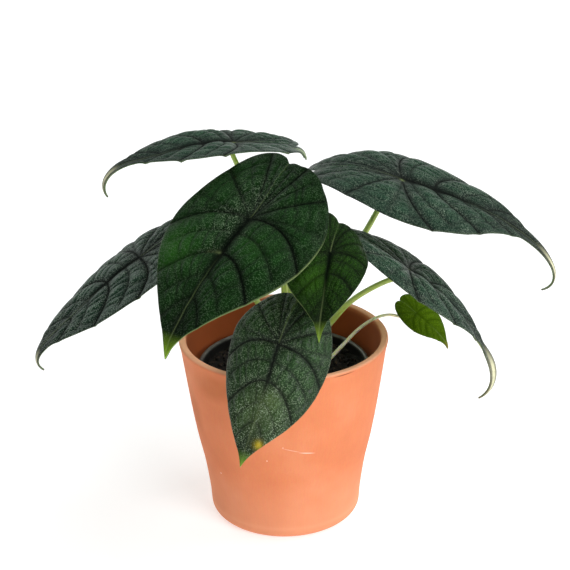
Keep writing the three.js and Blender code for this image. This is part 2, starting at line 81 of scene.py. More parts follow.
def linear(hex_colour):
    """sRGB hex to linear RGBA: c / 12.92 below 0.04045, and ((c + 0.055) / 1.055) ^ 2.4 above."""
    channel = np.array([int(hex_colour[i:i + 2], 16) for i in (1, 3, 5)]) / 255
    curve = np.where(channel <= 0.04045, channel / 12.92, ((channel + 0.055) / 1.055) ** 2.4)
    return (*curve, 1.0)


print("0.5 grey in linear light:", round(linear("#808080")[0], 3))


# %% Nodes and layers
def add(tree, kind, values=None, links=None, **settings):
    """Adds a shader node. kind is its type after ShaderNode, such as Mix or TexNoise.

    Inputs are named or numbered: values fills them, and links joins sockets to them.
    """
    node = tree.nodes.new("ShaderNode" + kind)
    for name, value in settings.items():
        setattr(node, name, value)
    for key, value in (values or {}).items():
        node.inputs[key].default_value = value
    for key, socket in (links or {}).items():
        tree.links.new(socket, node.inputs[key])
    return node


# A Mix node's colour inputs and output, by number: factor, first colour, second colour, result.
FACTOR, FIRST, SECOND, MIXED = 0, 6, 7, 2


def start_material(name):
    """An empty node material and its tree."""
    material = bpy.data.materials.new(name)
    material.use_nodes = True
    material.node_tree.nodes.clear()
    return material, material.node_tree


def set_stops(ramp, stops):
    """Gives a colour ramp its stops, each a position and a hex colour, in rising order."""
    elements = ramp.color_ramp.elements
    for position, _ in stops[1:-1]:
        elements.new(position)
    for element, (position, tint) in zip(elements, stops):
        element.position = position
        element.color = linear(tint)


def lay_over(tree, colour, layers):
    """Lays tints over a colour one after another, each as far as its own factor says.

    The colour to start from is a hex value or a socket.
    """
    for factor, tint in layers:
        values, links = {SECOND: linear(tint)}, {FACTOR: factor}
        if isinstance(colour, str):
            values[FIRST] = linear(colour)
        else:
            links[FIRST] = colour
        colour = add(tree, "Mix", values, links, data_type="RGBA").outputs[MIXED]
    return colour


def finish_material(material, values, links):
    """Closes a material's tree with a Principled shader and an output."""
    tree = material.node_tree
    shader = add(tree, "BsdfPrincipled", values, links)
    add(tree, "OutputMaterial", links={"Surface": shader.outputs["BSDF"]})
    print(f"finish {material.name}: {len(tree.nodes)} nodes")


# %% [markdown]
# ## Surfaces from arrays
# Every new piece is a surface worked out with numpy: a function of two parameters on a grid.
# Where a grid closes on itself, or runs together in a point, several grid places fall on the
# same spot. Welding them gives one vertex there, so the surface is closed and shades smoothly.

# %% Grids and welding
WELD_DIGITS = 7                    # corners weld when they agree to a tenth of a micrometre


def grid_quads(rows, columns, wrap=False):
    """Corner numbers of a grid's quads. With wrap, the last column joins the first."""
    i, j = np.meshgrid(np.arange(rows - 1), np.arange(columns if wrap else columns - 1), indexing="ij")
    k = (j + 1) % columns
    return np.stack([i * columns + j, i * columns + k, (i + 1) * columns + k, (i + 1) * columns + j],
                    axis=-1).reshape(-1, 4)


def weld(points, quads):
    """Merges corners on the same spot. A quad with two merged corners becomes a triangle.

    Returns the numbers of the points that are kept, the quads and the triangles.
    """
    spots = np.round(points, WELD_DIGITS) + 0.0
    _, kept, renumber = np.unique(spots, axis=0, return_index=True, return_inverse=True)
    renumber = renumber.reshape(-1)
    quads = renumber[quads]
    repeated = quads == np.roll(quads, -1, axis=1)
    count = repeated.sum(axis=1)
    pinched = count == 1
    triangles = quads[pinched][~repeated[pinched]].reshape(-1, 3)
    return kept, quads[count == 0], triangles


print("quads of a grid of 3 by 4 points:", len(grid_quads(3, 4)))

# %% Objects and pieces
FLAT_MAP = "flat_metres"           # the UV map of a flat blade or of a stalk's skin laid flat


def new_object(name, data):
    """An object with its data, linked to the scene."""
    thing = bpy.data.objects.new(name, data)
    bpy.context.scene.collection.objects.link(thing)
    return thing


def make_piece(name, points, quads, materials, replaces=(), uv=None, marks=None):
    """Puts a welded surface into a mesh object that rides on the frame.

    quads is one array, or a list with an array for each material. uv and each array in marks
    hold a value for every point.
    """
    loops, sizes, numbers = [], [], []
    for number, group in enumerate(quads if isinstance(quads, list) else [quads]):
        kept, whole, triangles = weld(points, group)
        loops += [whole.ravel(), triangles.ravel()]
        sizes += [np.full(len(whole), 4), np.full(len(triangles), 3)]
        numbers.append(np.full(len(whole) + len(triangles), number))
    loops, sizes, numbers = (np.concatenate(part) for part in (loops, sizes, numbers))
    mesh = bpy.data.meshes.new(name)
    mesh.vertices.add(len(kept))
    mesh.vertices.foreach_set("co", points[kept].astype(np.float32).ravel())
    mesh.loops.add(len(loops))
    mesh.loops.foreach_set("vertex_index", loops.astype(np.int32))
    mesh.polygons.add(len(sizes))
    mesh.polygons.foreach_set("loop_start", np.concatenate([[0], np.cumsum(sizes)[:-1]]).astype(np.int32))
    mesh.polygons.foreach_set("material_index", numbers.astype(np.int32))
    mesh.update(calc_edges=True)
    mesh.validate()
    mesh.shade_smooth()
    if uv is not None:
        layer = mesh.uv_layers.new(name=FLAT_MAP)
        layer.data.foreach_set("uv", uv[kept][loops].astype(np.float32).ravel())
    for label, values in (marks or {}).items():
        attribute = mesh.attributes.new(label, "FLOAT", "POINT")
        attribute.data.foreach_set("value", values[kept].astype(np.float32))
    for material in materials:
        mesh.materials.append(material)
    piece = new_object(name, mesh)
    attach(piece, "root")
    if replaces:
        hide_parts(*replaces)
    print(f"{name}: {len(kept)} vertices, {int((sizes - 2).sum())} triangles")


# %% Curves, turned walls and noise
NOISE_CELLS = 64                   # cells of the noise lattice before it repeats


def spline(points, places, centripetal=False):
    """A curve through points (Catmull-Rom), read at places 0..len - 1.

    Between two points it is the cubic with their tangents. A tangent is the mean of the slopes
    to the neighbours, weighed by the steps between points: all 1, or the square root of the
    distance when centripetal, which keeps unevenly spaced points from making the curve swing.
    """
    points = np.asarray(points, float)
    padded = np.vstack([2 * points[0] - points[1], points, 2 * points[-1] - points[-2]])
    places = np.asarray(places, float)
    i = np.clip(places.astype(int), 0, len(points) - 2)
    t = (places - i)[..., None]
    p0, p1, p2, p3 = padded[i], padded[i + 1], padded[i + 2], padded[i + 3]
    steps = [np.ones(i.shape + (1,))] * 3
    if centripetal:
        pairs = ((p0, p1), (p1, p2), (p2, p3))
        steps = [np.linalg.norm(b - a, axis=-1, keepdims=True) ** 0.5 for a, b in pairs]
    d0, d1, d2 = steps
    tangent1 = d1 * ((p1 - p0) / d0 - (p2 - p0) / (d0 + d1) + (p2 - p1) / d1)
    tangent2 = d1 * ((p2 - p1) / d1 - (p3 - p1) / (d1 + d2) + (p3 - p2) / d2)
    return (p1 + tangent1 * t + (3 * (p2 - p1) - 2 * tangent1 - tangent2) * t ** 2
            + (2 * (p1 - p2) + tangent1 + tangent2) * t ** 3)


def turned(profile, segments):
    """A profile of radius and height in mm, turned about Z: (r cos a, r sin a, z)."""
    profile = np.asarray(profile, float)
    angle = np.linspace(0, 2 * np.pi, segments, endpoint=False)
    r, z = profile[:, 0:1], profile[:, 1:2]
    points = np.stack([r * np.cos(angle), r * np.sin(angle), z + 0 * angle], axis=-1)
    return points.reshape(-1, 3) * MM, grid_quads(len(profile), segments, wrap=True)


def value_noise(x, y, seed):
    """Random heights from -1 to 1 on a square lattice, blended between its corners by 3t^2 - 2t^3."""
    table = np.random.default_rng(seed).uniform(-1, 1, (NOISE_CELLS, NOISE_CELLS))
    i, j = np.floor(x).astype(int), np.floor(y).astype(int)
    u, v = x - i, y - j
    u, v = u * u * (3 - 2 * u), v * v * (3 - 2 * v)
    corner = [table[(i + a) % NOISE_CELLS, (j + b) % NOISE_CELLS]
              for a, b in ((0, 0), (1, 0), (0, 1), (1, 1))]
    return (corner[0] * (1 - u) + corner[1] * u) * (1 - v) + (corner[2] * (1 - u) + corner[3] * u) * v


print("a spline through 0, 1, 4 halfway:", spline([[0.0], [1.0], [4.0]], [0.5]).round(3))

# %% [markdown]
# ## Camera
# The photograph was taken from a little above the plant, with a lens long enough to keep the
# pot nearly straight. The camera looks at a point on the plant from one metre away. Its three
# axes are worked out from the downward angle and a small roll, and become the columns of its
# matrix.

# %% Camera
def standing(right, up, back, place):
    """The matrix of an object at a place, with its X, Y and Z axes pointing right, up and back."""
    matrix = np.eye(4)
    matrix[:3, :3] = np.stack([right, up, back], axis=1)
    matrix[:3, 3] = place
    return Matrix(matrix)


CAMERA_TARGET = np.array([1.47, 0, 170.06]) * MM
CAMERA_DISTANCE = 1.0
CAMERA_DOWN = np.radians(22.76)
CAMERA_ROLL = np.radians(-0.71)
CAMERA_LENS = 92.46                # mm
CAMERA_SENSOR = 36                 # mm wide

ahead = np.array([0, np.cos(CAMERA_DOWN), -np.sin(CAMERA_DOWN)])
level_right = np.array([1.0, 0, 0])
level_up = np.cross(level_right, ahead)
right = level_right * np.cos(CAMERA_ROLL) + level_up * np.sin(CAMERA_ROLL)
up = level_up * np.cos(CAMERA_ROLL) - level_right * np.sin(CAMERA_ROLL)
camera_place = CAMERA_TARGET - ahead * CAMERA_DISTANCE

camera_data = bpy.data.cameras.new("camera")
camera_data.lens = CAMERA_LENS
camera_data.sensor_width = CAMERA_SENSOR
camera = new_object("camera", camera_data)
camera.matrix_world = standing(right, up, -ahead, camera_place)
bpy.context.scene.camera = camera
print("camera at", camera_place.round(3))

# %% [markdown]
# ## Terracotta
# Terracotta is unglazed fired clay. It is quite matt, because its fine pores scatter light,
# and iron makes it orange. Fired pots are never one colour: the clay is paler where it dried
# last, and darker where it touched the kiln shelf. The material layers a broad cloudy change
# of colour, a fine grain of sand, and long faint lines left by turning the pot. The inner wall
# is darkened with painted shade, and the rim and the foot are lightened with painted light.
# Use shows too: there is a hair crack under the rim, a scratch and a few grains of lime. Each
# small mark is a soft ball of colour, squeezed to its own length and width and set down where
# it belongs on the wall.

# %% Terracotta finish
CLAY = "#d98055"
CLAY_PALE = "#de8a61"
CLAY_DEEP = "#d1794f"
CLAY_PAINTED_LIGHT = "#f6b792"            # the rim and the foot, made paler as painted light
CLAY_INSIDE_SHADE = "#9c4407"              # the inner wall, made darker as painted shade
CLAY_IOR = 1.45
CLAY_ROUGHNESS = 0.88
CLAY_CLOUD = 45 * MM               # size of a cloudy patch
CLAY_SAND = 0.9 * MM               # a sand grain, a little coarser than life so that it shows
TURNING_PITCH = 1.6 * MM           # distance between turning lines
WIPED_STREAK = 1.1 * MM            # width of the faint upright streaks

terracotta, tree = start_material("unglazed_terracotta")
coordinates = add(tree, "TexCoord").outputs["Object"]
cloud = add(tree, "TexNoise", {"Scale": 1 / CLAY_CLOUD, "Detail": 3, "Roughness": 0.55},
            {"Vector": coordinates})
ramp = add(tree, "ValToRGB", links={"Fac": cloud.outputs["Fac"]})
set_stops(ramp, [(0.3, CLAY_DEEP), (0.5, CLAY), (0.7, CLAY_PALE)])
colour = ramp.outputs["Color"]
sand = add(tree, "TexNoise", {"Scale": 1 / CLAY_SAND, "Detail": 2}, {"Vector": coordinates})
streaks = add(tree, "Mapping", {"Scale": (1, 1, 0.05)}, {"Vector": coordinates})
wiped = add(tree, "TexNoise", {"Scale": 1 / WIPED_STREAK, "Detail": 1},
            {"Vector": streaks.outputs["Vector"]})
for pattern, share in ((sand, 0.12), (wiped, 0.1)):
    colour = add(tree, "Mix", {FACTOR: share}, {FIRST: colour, SECOND: pattern.outputs["Color"]},
                 data_type="RGBA", blend_type="SOFT_LIGHT").outputs[MIXED]
stretch = add(tree, "Mapping", {"Scale": (0.04, 0.04, 1)}, {"Vector": coordinates})
turning = add(tree, "TexNoise", {"Scale": 1 / TURNING_PITCH, "Detail": 2},
              {"Vector": stretch.outputs["Vector"]})
lines = add(tree, "Bump", {"Strength": 0.25, "Distance": 0.15 * MM}, {"Height": turning.outputs["Fac"]})
grain = add(tree, "Bump", {"Strength": 0.3, "Distance": 0.12 * MM},
            {"Height": sand.outputs["Fac"], "Normal": lines.outputs["Normal"]})
print("sand grains in mm:", round(CLAY_SAND / MM, 2), "turning lines:", round(TURNING_PITCH / MM, 2))

# %% Marks of use on the clay
# Small marks of use: azimuth from the front in degrees, height, half length and half width in
# mm, slant in degrees, colour and strength.
CLAY_MARKS = [
    [33, 131.2, 10, 0.55, 0, "#6e3519", 0.9],      # a hair crack under the rim
    [13.5, 73.8, 6.5, 0.4, -9, "#fbe3d2", 0.9],    # a scratch
    [4, 77, 8, 0.35, -17, "#fbe3d2", 0.4],         # its faint start
    [-49.8, 45.2, 0.7, 0.7, 0, "#fbe3d2", 1],      # grains of lime
    [-11.1, 67.9, 0.6, 0.6, 0, "#fbe3d2", 0.8],
    [-1.1, 79.4, 0.5, 0.5, 0, "#fbe3d2", 0.7],
    [-42, 118, 26, 13, 12, "#b0602f", 0.45],       # a browner cloud below the rim
    [-68, 88, 12, 22, 0, "#b0602f", 0.35],
]

# Painted shade darkens the inner wall, and painted light pales the rim and the foot.
layers = [(add(tree, "Attribute", attribute_name=label).outputs["Fac"], tint)
          for label, tint in (("inside", CLAY_INSIDE_SHADE), ("painted_light", CLAY_PAINTED_LIGHT))]
for azimuth, place_z, half_length, half_width, slant, tint, strength in CLAY_MARKS:
    around = np.radians(azimuth)
    out = 48 + 0.2 * place_z       # the wall's radius there
    depth = 6 + half_length / 2    # enough to reach the curved wall at the mark's ends
    spot = add(tree, "Mapping", {
        "Location": Vector((out * np.sin(around), -out * np.cos(around), place_z)) * MM,
        "Rotation": (0, -np.radians(slant), around),
        "Scale": Vector((half_length, depth, half_width)) * MM,
    }, {"Vector": coordinates}, vector_type="TEXTURE")
    soft = add(tree, "TexGradient", links={"Vector": spot.outputs["Vector"]}, gradient_type="SPHERICAL")
    level = add(tree, "MapRange", {"From Max": 0.6, "To Max": strength}, {"Value": soft.outputs["Fac"]})
    layers.append((level.outputs["Result"], tint))
colour = lay_over(tree, colour, layers)
finish_material(terracotta, {"Roughness": CLAY_ROUGHNESS, "IOR": CLAY_IOR},
                {"Base Color": colour, "Normal": grain.outputs["Normal"]})

# %% [markdown]
# ## The terracotta pot
# The pot was turned or pressed in a turned mould, so its shape is one profile taken round the
# axis. A lathe modifier could do it, but a formula gives even quads and a rim of the right
# roundness. The outer wall narrows to a soft waist a third of the way up. The rim is five
# millimetres thick with rounded edges, and the base edge is rounded where it meets the table.
# How much painted shade and painted light the clay gets at a place is worked out here and kept on the points.

# %% Pot
POT_FLOOR = 8                      # thickness of the base
POT_OUTER = [[46, 0], [50, 1.2], [52.6, 4.2], [53.3, 8.5], [53.8, 16], [55.6, 30], [57.5, 42], [59.6, 52],
             [61.7, 62], [64.8, 80], [67.7, 100], [70.2, 118], [71.3, 126], [72.2, 130]]
POT_INNER = [[67.2, 129.5], [65.8, 118], [60.2, 80], [56.2, 58], [51.6, 38], [47.6, 12], [45.4, POT_FLOOR]]
POT_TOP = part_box("terracotta_pot")[1].z / MM
POT_RIM_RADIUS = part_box("terracotta_pot")[1].x / MM
RIM_THICKNESS = 5
RIM_ROUNDING = 1.6
RIM_STEPS = 7
OUTER_STEPS, INNER_STEPS, POT_SEGMENTS = 90, 40, 160


def rim_arc(centre_radius, start, end):
    """A rounded rim edge: a circle's points from one angle to the other, in degrees from outwards."""
    angle = np.radians(np.linspace(start, end, RIM_STEPS))
    return np.stack([centre_radius + RIM_ROUNDING * np.cos(angle),
                     POT_TOP - RIM_ROUNDING + RIM_ROUNDING * np.sin(angle)], axis=1)


outer_wall = spline(POT_OUTER, np.linspace(0, len(POT_OUTER) - 1, OUTER_STEPS))
inner_wall = spline(POT_INNER, np.linspace(0, len(POT_INNER) - 1, INNER_STEPS))
pot_profile = np.vstack([
    [[0, 0]], outer_wall,
    rim_arc(POT_RIM_RADIUS - RIM_ROUNDING, 0, 90),
    rim_arc(POT_RIM_RADIUS - RIM_THICKNESS + RIM_ROUNDING, 90, 180),
    inner_wall, [[0, POT_FLOOR]],
])
points, quads = turned(pot_profile, POT_SEGMENTS)
height = points[:, 2] / MM
# The inner wall starts half way down the rim's second arc.
inner_start = 1 + OUTER_STEPS + RIM_STEPS + RIM_STEPS // 2 + 1
inner = np.repeat(np.arange(len(pot_profile)) >= inner_start, POT_SEGMENTS)
# The foot gets a painted highlight as a faint pale ring 9 mm up, and painted bounce light makes it a little
# paler below 50 mm.
foot = 0.1 * np.exp(-((height - 9) / 1.6) ** 2) + 0.3 * np.clip(1 - height / 50, 0, 1)
# The inner wall gets painted shade, and the top of the rim painted light.
marks = {
    "inside": 0.8 * inner * np.clip((POT_TOP - 1 - height) / 3, 0, 1),
    "painted_light": 0.9 * np.clip((height - POT_TOP + 1.3) / 1.2, 0, 1) + ~inner * foot,
}
make_piece("terracotta_pot_turned", points, quads, [terracotta], ["terracotta_pot"],
           marks=marks)

# %% [markdown]
# ## The grow pot
# A nursery pot is thin black polypropylene, blown or moulded, with a rolled lip. It has a soft
# satin gloss, and a light grey line along the top of its lip, broken up by noise, is a painted
# highlight. One turned profile gives the lip its true roll, which a plain edge would lack.

# %% Grow pot
PLASTIC_IOR, PLASTIC_ROUGHNESS = 1.49, 0.42
PLASTIC_BLACK, PLASTIC_HIGHLIGHT = "#161717", "#8f8f8c"
HIGHLIGHT_BREAKUP_SIZE = 6 * MM
growing_plastic, tree = start_material("satin_black_polypropylene")
coordinates = add(tree, "TexCoord").outputs["Object"]
height = add(tree, "SeparateXYZ", links={"Vector": coordinates}).outputs["Z"]
GROW_RIM_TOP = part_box("grow_pot")[1].z / MM
GROW_RIM_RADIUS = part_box("grow_pot")[1].x / MM
# The top of the lip is painted grey as a highlight.
lip_highlight = add(tree, "MapRange",
           {"From Min": (GROW_RIM_TOP - 2.4) * MM, "From Max": (GROW_RIM_TOP - 0.6) * MM},
           {"Value": height})
highlight_breakup = add(tree, "TexNoise", {"Scale": 1 / HIGHLIGHT_BREAKUP_SIZE, "Detail": 4}, {"Vector": coordinates})
painted_light = add(tree, "Math", links={0: lip_highlight.outputs["Result"], 1: highlight_breakup.outputs["Fac"]},
             operation="MULTIPLY")
colour = lay_over(tree, PLASTIC_BLACK, [(painted_light.outputs[0], PLASTIC_HIGHLIGHT)])
finish_material(growing_plastic, {"Roughness": PLASTIC_ROUGHNESS, "IOR": PLASTIC_IOR}, {"Base Color": colour})

LIP_ROLL = 1.5
GROW_LIP_HEIGHT = 5
GROW_WALL = 1.2
GROW_BASE_RADIUS = 44
LIP_STEPS, WALL_STEPS, GROW_SEGMENTS = 16, 12, 128
GROW_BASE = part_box("grow_pot")[0].z / MM
# The lip's roll runs from low on the outside over the top and down on the inside.
lip_angle = np.radians(np.linspace(-60, 190, LIP_STEPS))
lip_centre = [GROW_RIM_RADIUS - LIP_ROLL, GROW_RIM_TOP - LIP_ROLL]
lip = lip_centre + LIP_ROLL * np.stack([np.cos(lip_angle), np.sin(lip_angle)], axis=1)
wall_top = GROW_RIM_TOP - GROW_LIP_HEIGHT
wall_radius = lip[-1, 0] - 0.2
grow_profile = np.vstack([
    [[0, GROW_BASE], [GROW_BASE_RADIUS - 1, GROW_BASE], [GROW_BASE_RADIUS, GROW_BASE + 1]],
    np.linspace([GROW_BASE_RADIUS + 0.3, GROW_BASE + 3], [wall_radius + GROW_WALL, wall_top], WALL_STEPS),
    [[lip[0, 0], wall_top + 0.3]], lip,
    np.linspace([wall_radius, wall_top], [GROW_BASE_RADIUS - GROW_WALL, GROW_BASE + GROW_WALL], WALL_STEPS),
    [[0, GROW_BASE + GROW_WALL]],
])
points, quads = turned(grow_profile, GROW_SEGMENTS)
make_piece("grow_pot_moulded", points, quads, [growing_plastic], ["grow_pot"])

# %% [markdown]
# ## Potting soil
# Moist potting soil is nearly black: peat and fine bark, with a few pale fibres. A displaced
# disc alone looks like cloth, so the surface is built twice: a lumpy disc from value noise at
# three sizes, and several hundred crumbs that lie half sunk in it. Each crumb is the same
# small lattice of a few faces, pushed about by its own random numbers, all made in one array.

# %% Soil finish
SOIL_FLECK, SOIL_GRAIN = 2.2 * MM, 1.2 * MM
SOIL_STOPS = [(0.0, "#090808"), (0.72, "#130f0f"), (1.0, "#3d3026")]    # peat, damp bark, dry bark
potting_soil, tree = start_material("moist_peat_and_bark")
coordinates = add(tree, "TexCoord").outputs["Object"]
flecks = add(tree, "TexVoronoi", {"Scale": 1 / SOIL_FLECK}, {"Vector": coordinates})
chance = add(tree, "SeparateColor", links={"Color": flecks.outputs["Color"]})
colour = add(tree, "ValToRGB", links={"Fac": chance.outputs[0]})
set_stops(colour, SOIL_STOPS)
fine = add(tree, "TexNoise", {"Scale": 1 / SOIL_GRAIN, "Detail": 4}, {"Vector": coordinates})
rough = add(tree, "Bump", {"Strength": 0.9, "Distance": 0.5 * MM}, {"Height": fine.outputs["Fac"]})
finish_material(potting_soil, {"Roughness": 0.8, "IOR": 1.4},
                {"Base Color": colour.outputs["Color"], "Normal": rough.outputs["Normal"]})

# %% Soil surface
SOIL_TOP = 105.0
SOIL_CROWNING = 2.0
SOIL_RADIUS = 57.0
SOIL_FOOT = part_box("potting_soil")[0].z / MM
SOIL_TAPER = 0.78                  # the soil's foot, as a share of its top
SOIL_RINGS, SOIL_SPOKES = 70, 220
SOIL_LUMPS = [(0.7, 9, 1), (0.5, 4, 2), (0.35, 1.8, 3)]    # height and size in mm, and a seed


def soil_height(x, y):
    """Height in mm: a shallow dome plus the noise of every size of lump."""
    dome = SOIL_CROWNING * (1 - (x ** 2 + y ** 2) / SOIL_RADIUS ** 2)
    lumps = sum(height * value_noise(x / size + 20, y / size + 20, seed)
                for height, size, seed in SOIL_LUMPS)
    return SOIL_TOP + dome + lumps


radius = np.linspace(0, SOIL_RADIUS, SOIL_RINGS)[:, None]
angle = np.linspace(0, 2 * np.pi, SOIL_SPOKES, endpoint=False)
x, y = radius * np.cos(angle), radius * np.sin(angle)
surface = np.stack([x, y, soil_height(x, y)], axis=-1)
skirt = surface[-1] * [SOIL_TAPER, SOIL_TAPER, 0] + [0, 0, SOIL_FOOT]
points = np.concatenate([surface, skirt[None], skirt[None] * [0, 0, 1]]).reshape(-1, 3) * MM
quads = grid_quads(SOIL_RINGS + 2, SOIL_SPOKES, wrap=True)[:, ::-1]
make_piece("soil_surface", points, quads, [potting_soil], ["potting_soil"])

# %% Soil crumbs
CRUMBS = 620
CRUMB_SIZES = 0.7, 2.1             # least and greatest radius in mm
CRUMB_RAISED = 0.35                # how far a crumb's middle lies above the soil, in radii
CRUMB_MARGIN = 3                   # mm kept free along the grow pot's wall
rng = np.random.default_rng(7)
crumb_radius = rng.uniform(*CRUMB_SIZES, CRUMBS) * rng.uniform(0.6, 1, CRUMBS)
spread = np.sqrt(rng.uniform(0, 1, CRUMBS)) * (SOIL_RADIUS - CRUMB_MARGIN)
turn = rng.uniform(0, 2 * np.pi, CRUMBS)
centre_x, centre_y = spread * np.cos(turn), spread * np.sin(turn)
centre_z = soil_height(centre_x, centre_y) + CRUMB_RAISED * crumb_radius
# One crumb is a ball of a few rings and sides. Its poles are whole rings, each pushed as one.
BALL_RINGS, BALL_SIDES = 5, 6
ring, side = np.meshgrid(np.linspace(0, np.pi, BALL_RINGS),
                         np.linspace(0, 2 * np.pi, BALL_SIDES, endpoint=False), indexing="ij")
ball = np.stack([np.sin(ring) * np.cos(side), np.sin(ring) * np.sin(side), np.cos(ring)], axis=-1)
ball = ball.reshape(-1, 3)
push = 1 + 0.35 * rng.uniform(-1, 1, (CRUMBS, len(ball), 1))
push[:, :BALL_SIDES] = push[:, :1]
push[:, -BALL_SIDES:] = push[:, -1:]
squash = rng.uniform(0.6, 1.3, (CRUMBS, 1, 3))
crumbs = ball * push * squash * crumb_radius[:, None, None]
crumbs += np.stack([centre_x, centre_y, centre_z], axis=-1)[:, None]
crumb_quads = grid_quads(BALL_RINGS, BALL_SIDES, wrap=True)[:, ::-1]
quads = (crumb_quads + np.arange(CRUMBS)[:, None, None] * len(ball)).reshape(-1, 4)
make_piece("soil_crumbs", crumbs.reshape(-1, 3) * MM, quads, [potting_soil])

# %% [markdown]
# ## The leaf as a formula
# A leaf blade is built in two steps. First it is drawn flat: a heart-shaped outline, and rows
# that run the way the side veins run, out from the midrib and forward to the margin. Then each
# flat place is carried into space. The midrib is a curve whose pitch changes along its length,
# and each half of the blade leaves it at its own slope and bends on the way to the margin.
# The solids in the frame come from the same few numbers a leaf, so the fine blades lie on them.

# %% Leaf measures
JUNCTION = 0.29                    # where the petiole joins, as a share of the blade's length
BODY_END = 0.9                     # where the outline's body ends and its drip tip starts
# Half a blade's outline: distance along the midrib, half width, row start, row sweep.
OUTLINE = np.array([
    [-0.03, 0, JUNCTION, 1], [-0.06, 0.12, JUNCTION, 0.9], [-0.065, 0.34, JUNCTION, 0.9],
    [-0.02, 0.6, JUNCTION, 0.9], [0.07, 0.81, JUNCTION, 1], [0.19, 0.95, JUNCTION, 1.3],
    [0.32, 1, JUNCTION, 2], [0.45, 0.955, JUNCTION, 3], [0.57, 0.83, 0.39, 2.4],
    [0.68, 0.64, 0.5, 2], [0.775, 0.43, 0.62, 1.8], [0.85, 0.26, 0.73, 1.8],
    [0.9, 0.145, 0.82, 1.8], [0.95, 0.06, 0.91, 1.8], [1, 0, 1, 1],
])
LAST_ROW = len(OUTLINE) - 1
TIP_ROW = 12                       # the drip tip starts at this row
LOBE_ROWS, LOBE_DRAWN = [0, 1.5, 3.5, 5.5], [0, 1, 1, 0]    # a small back lobe is drawn in along these
PITCH_STATIONS = [-0.08, JUNCTION, 0.55, 0.78, 0.9, 1]
SPINE_START, SPINE_STEPS = -0.2, 240
SPINE_SOFTENING = 7                # steps on each side that a station's pitch is averaged over
BLADE_THICKNESS = 1.0              # mm
RELIEF = 0.025                     # height of the quilting, as a share of the length

# Angles in degrees and lengths in mm: heading of the tip, pitch of the midrib at its stations,
# roll at the notch and the tip, each half's width, slope and bend, a drip tip's own twist, and
# for a lobe that curls down the X where it begins, how much it stretches and the curl's radius.
LEAVES = {
    "top_left": dict(junction=[-33, 46, 258], length=162, heading=213,
                     pitch=[19, 11, -5, 0, -38, -136], roll=[-5, 2],
                     left=[44, 6.5, -2], right=[46, 8, 39], skew=0.1, tip=0.21,
                     curl=[11, 1.45, 6]),
    "front_large": dict(junction=[-20, -58, 240], length=155, heading=-126,
                        pitch=[-36, -23, -30, -38, -44, -76], roll=[6, -4],
                        left=[55, 6, 37], right=[51, 4, 0], drawn=[0.11, 0], skew=0.02, tip=0.1),
    "far_left": dict(junction=[-98, 10, 188], length=156, heading=205,
                     pitch=[-14, -28, -38, -34, -55, -150], roll=[-2, -1],
                     left=[45, -5, -11], right=[44, -1, 32], skew=0, tip=0.15),
    "upper_right": dict(junction=[84, 52, 228], length=209, heading=-29,
                        pitch=[24, -11, -13, -31, -62, -168], roll=[3, -5],
                        left=[55, 5, 25], right=[58, 6, 21], skew=-0.16, tip=0.25),
    "lower_right": dict(junction=[84, -22, 189.5], length=164, heading=-38,
                        pitch=[-7, -21, -36, -55, -107, -147], roll=[-11, -17], twist=50,
                        left=[38, -7, 2], right=[41, 20, 34], skew=-0.11, tip=0.28),
    "front_small": dict(junction=[30, -70, 221], length=84, heading=-104,
                        pitch=[-4, -39, -49, -54, -74, -96], roll=[-40, -3],
                        left=[28.5, 3, 24], right=[27.5, 20, 31], skew=-0.12, tip=0.16),
    "front_low": dict(junction=[-3, -86, 166], length=114, heading=-124,
                      pitch=[-18, -57, -59, -51, -57, -59], roll=[-9, -11],
                      left=[36, -14, 34], right=[40, -10, 21], drawn=[0, 0.12], skew=0.02, tip=0.09),
    "young": dict(junction=[94, 22, 138], length=49, heading=-42,
                  pitch=[-15, -23, -28, -35, -39, -83], roll=[2, 2],
                  left=[17, 8, 14], right=[16, 5, 16], skew=-0.09, tip=0.125),
}
print("leaves:", ", ".join(LEAVES))


# %% From a row to the flat blade
def fit_tip(leaf, along):
    """The drip tip takes the leaf's own share of the length, and the body shrinks to match."""
    tip = leaf["tip"]
    body = np.where(along > 0, along * (1 - tip) / BODY_END, along)
    return np.where(along > BODY_END, 1 - tip * (1 - along) / (1 - BODY_END), body)


def flat_place(leaf, row, share):
    """Flat place of a row at a share of the way to the margin, below 0 on the right.

    along = start + (edge - start) |share| ^ sweep, and across = edge's half width times share.
    """
    row, share = np.broadcast_arrays(np.asarray(row, float), np.asarray(share, float))
    edge = spline(OUTLINE[:, :2], row)
    left, right = leaf.get("drawn", [0, 0])
    drawn = np.where(share >= 0, left, right) * np.interp(row, LOBE_ROWS, LOBE_DRAWN)
    edge_along = edge[..., 0] + drawn * np.maximum(JUNCTION - edge[..., 0], 0)
    edge_across = edge[..., 1] * (1 - drawn)
    start = np.interp(row, range(LAST_ROW + 1), OUTLINE[:, 2])
    sweep = np.interp(row, range(LAST_ROW + 1), OUTLINE[:, 3])
    start = np.where(start > JUNCTION, np.maximum(JUNCTION, fit_tip(leaf, start)), JUNCTION)
    along = start + (fit_tip(leaf, edge_along) - start) * np.abs(share) ** sweep
    return along, np.maximum(edge_across, 0) * share


def flat_mm(leaf, along, across):
    """The flat blade in mm: along and across are shares of the length and of each half's width."""
    width = np.where(across >= 0, leaf["left"][0], leaf["right"][0])
    return along * leaf["length"], across * width


print("margin at row 6 of a flat blade, as shares:", np.round(flat_place(LEAVES["far_left"], 6, 1), 3))


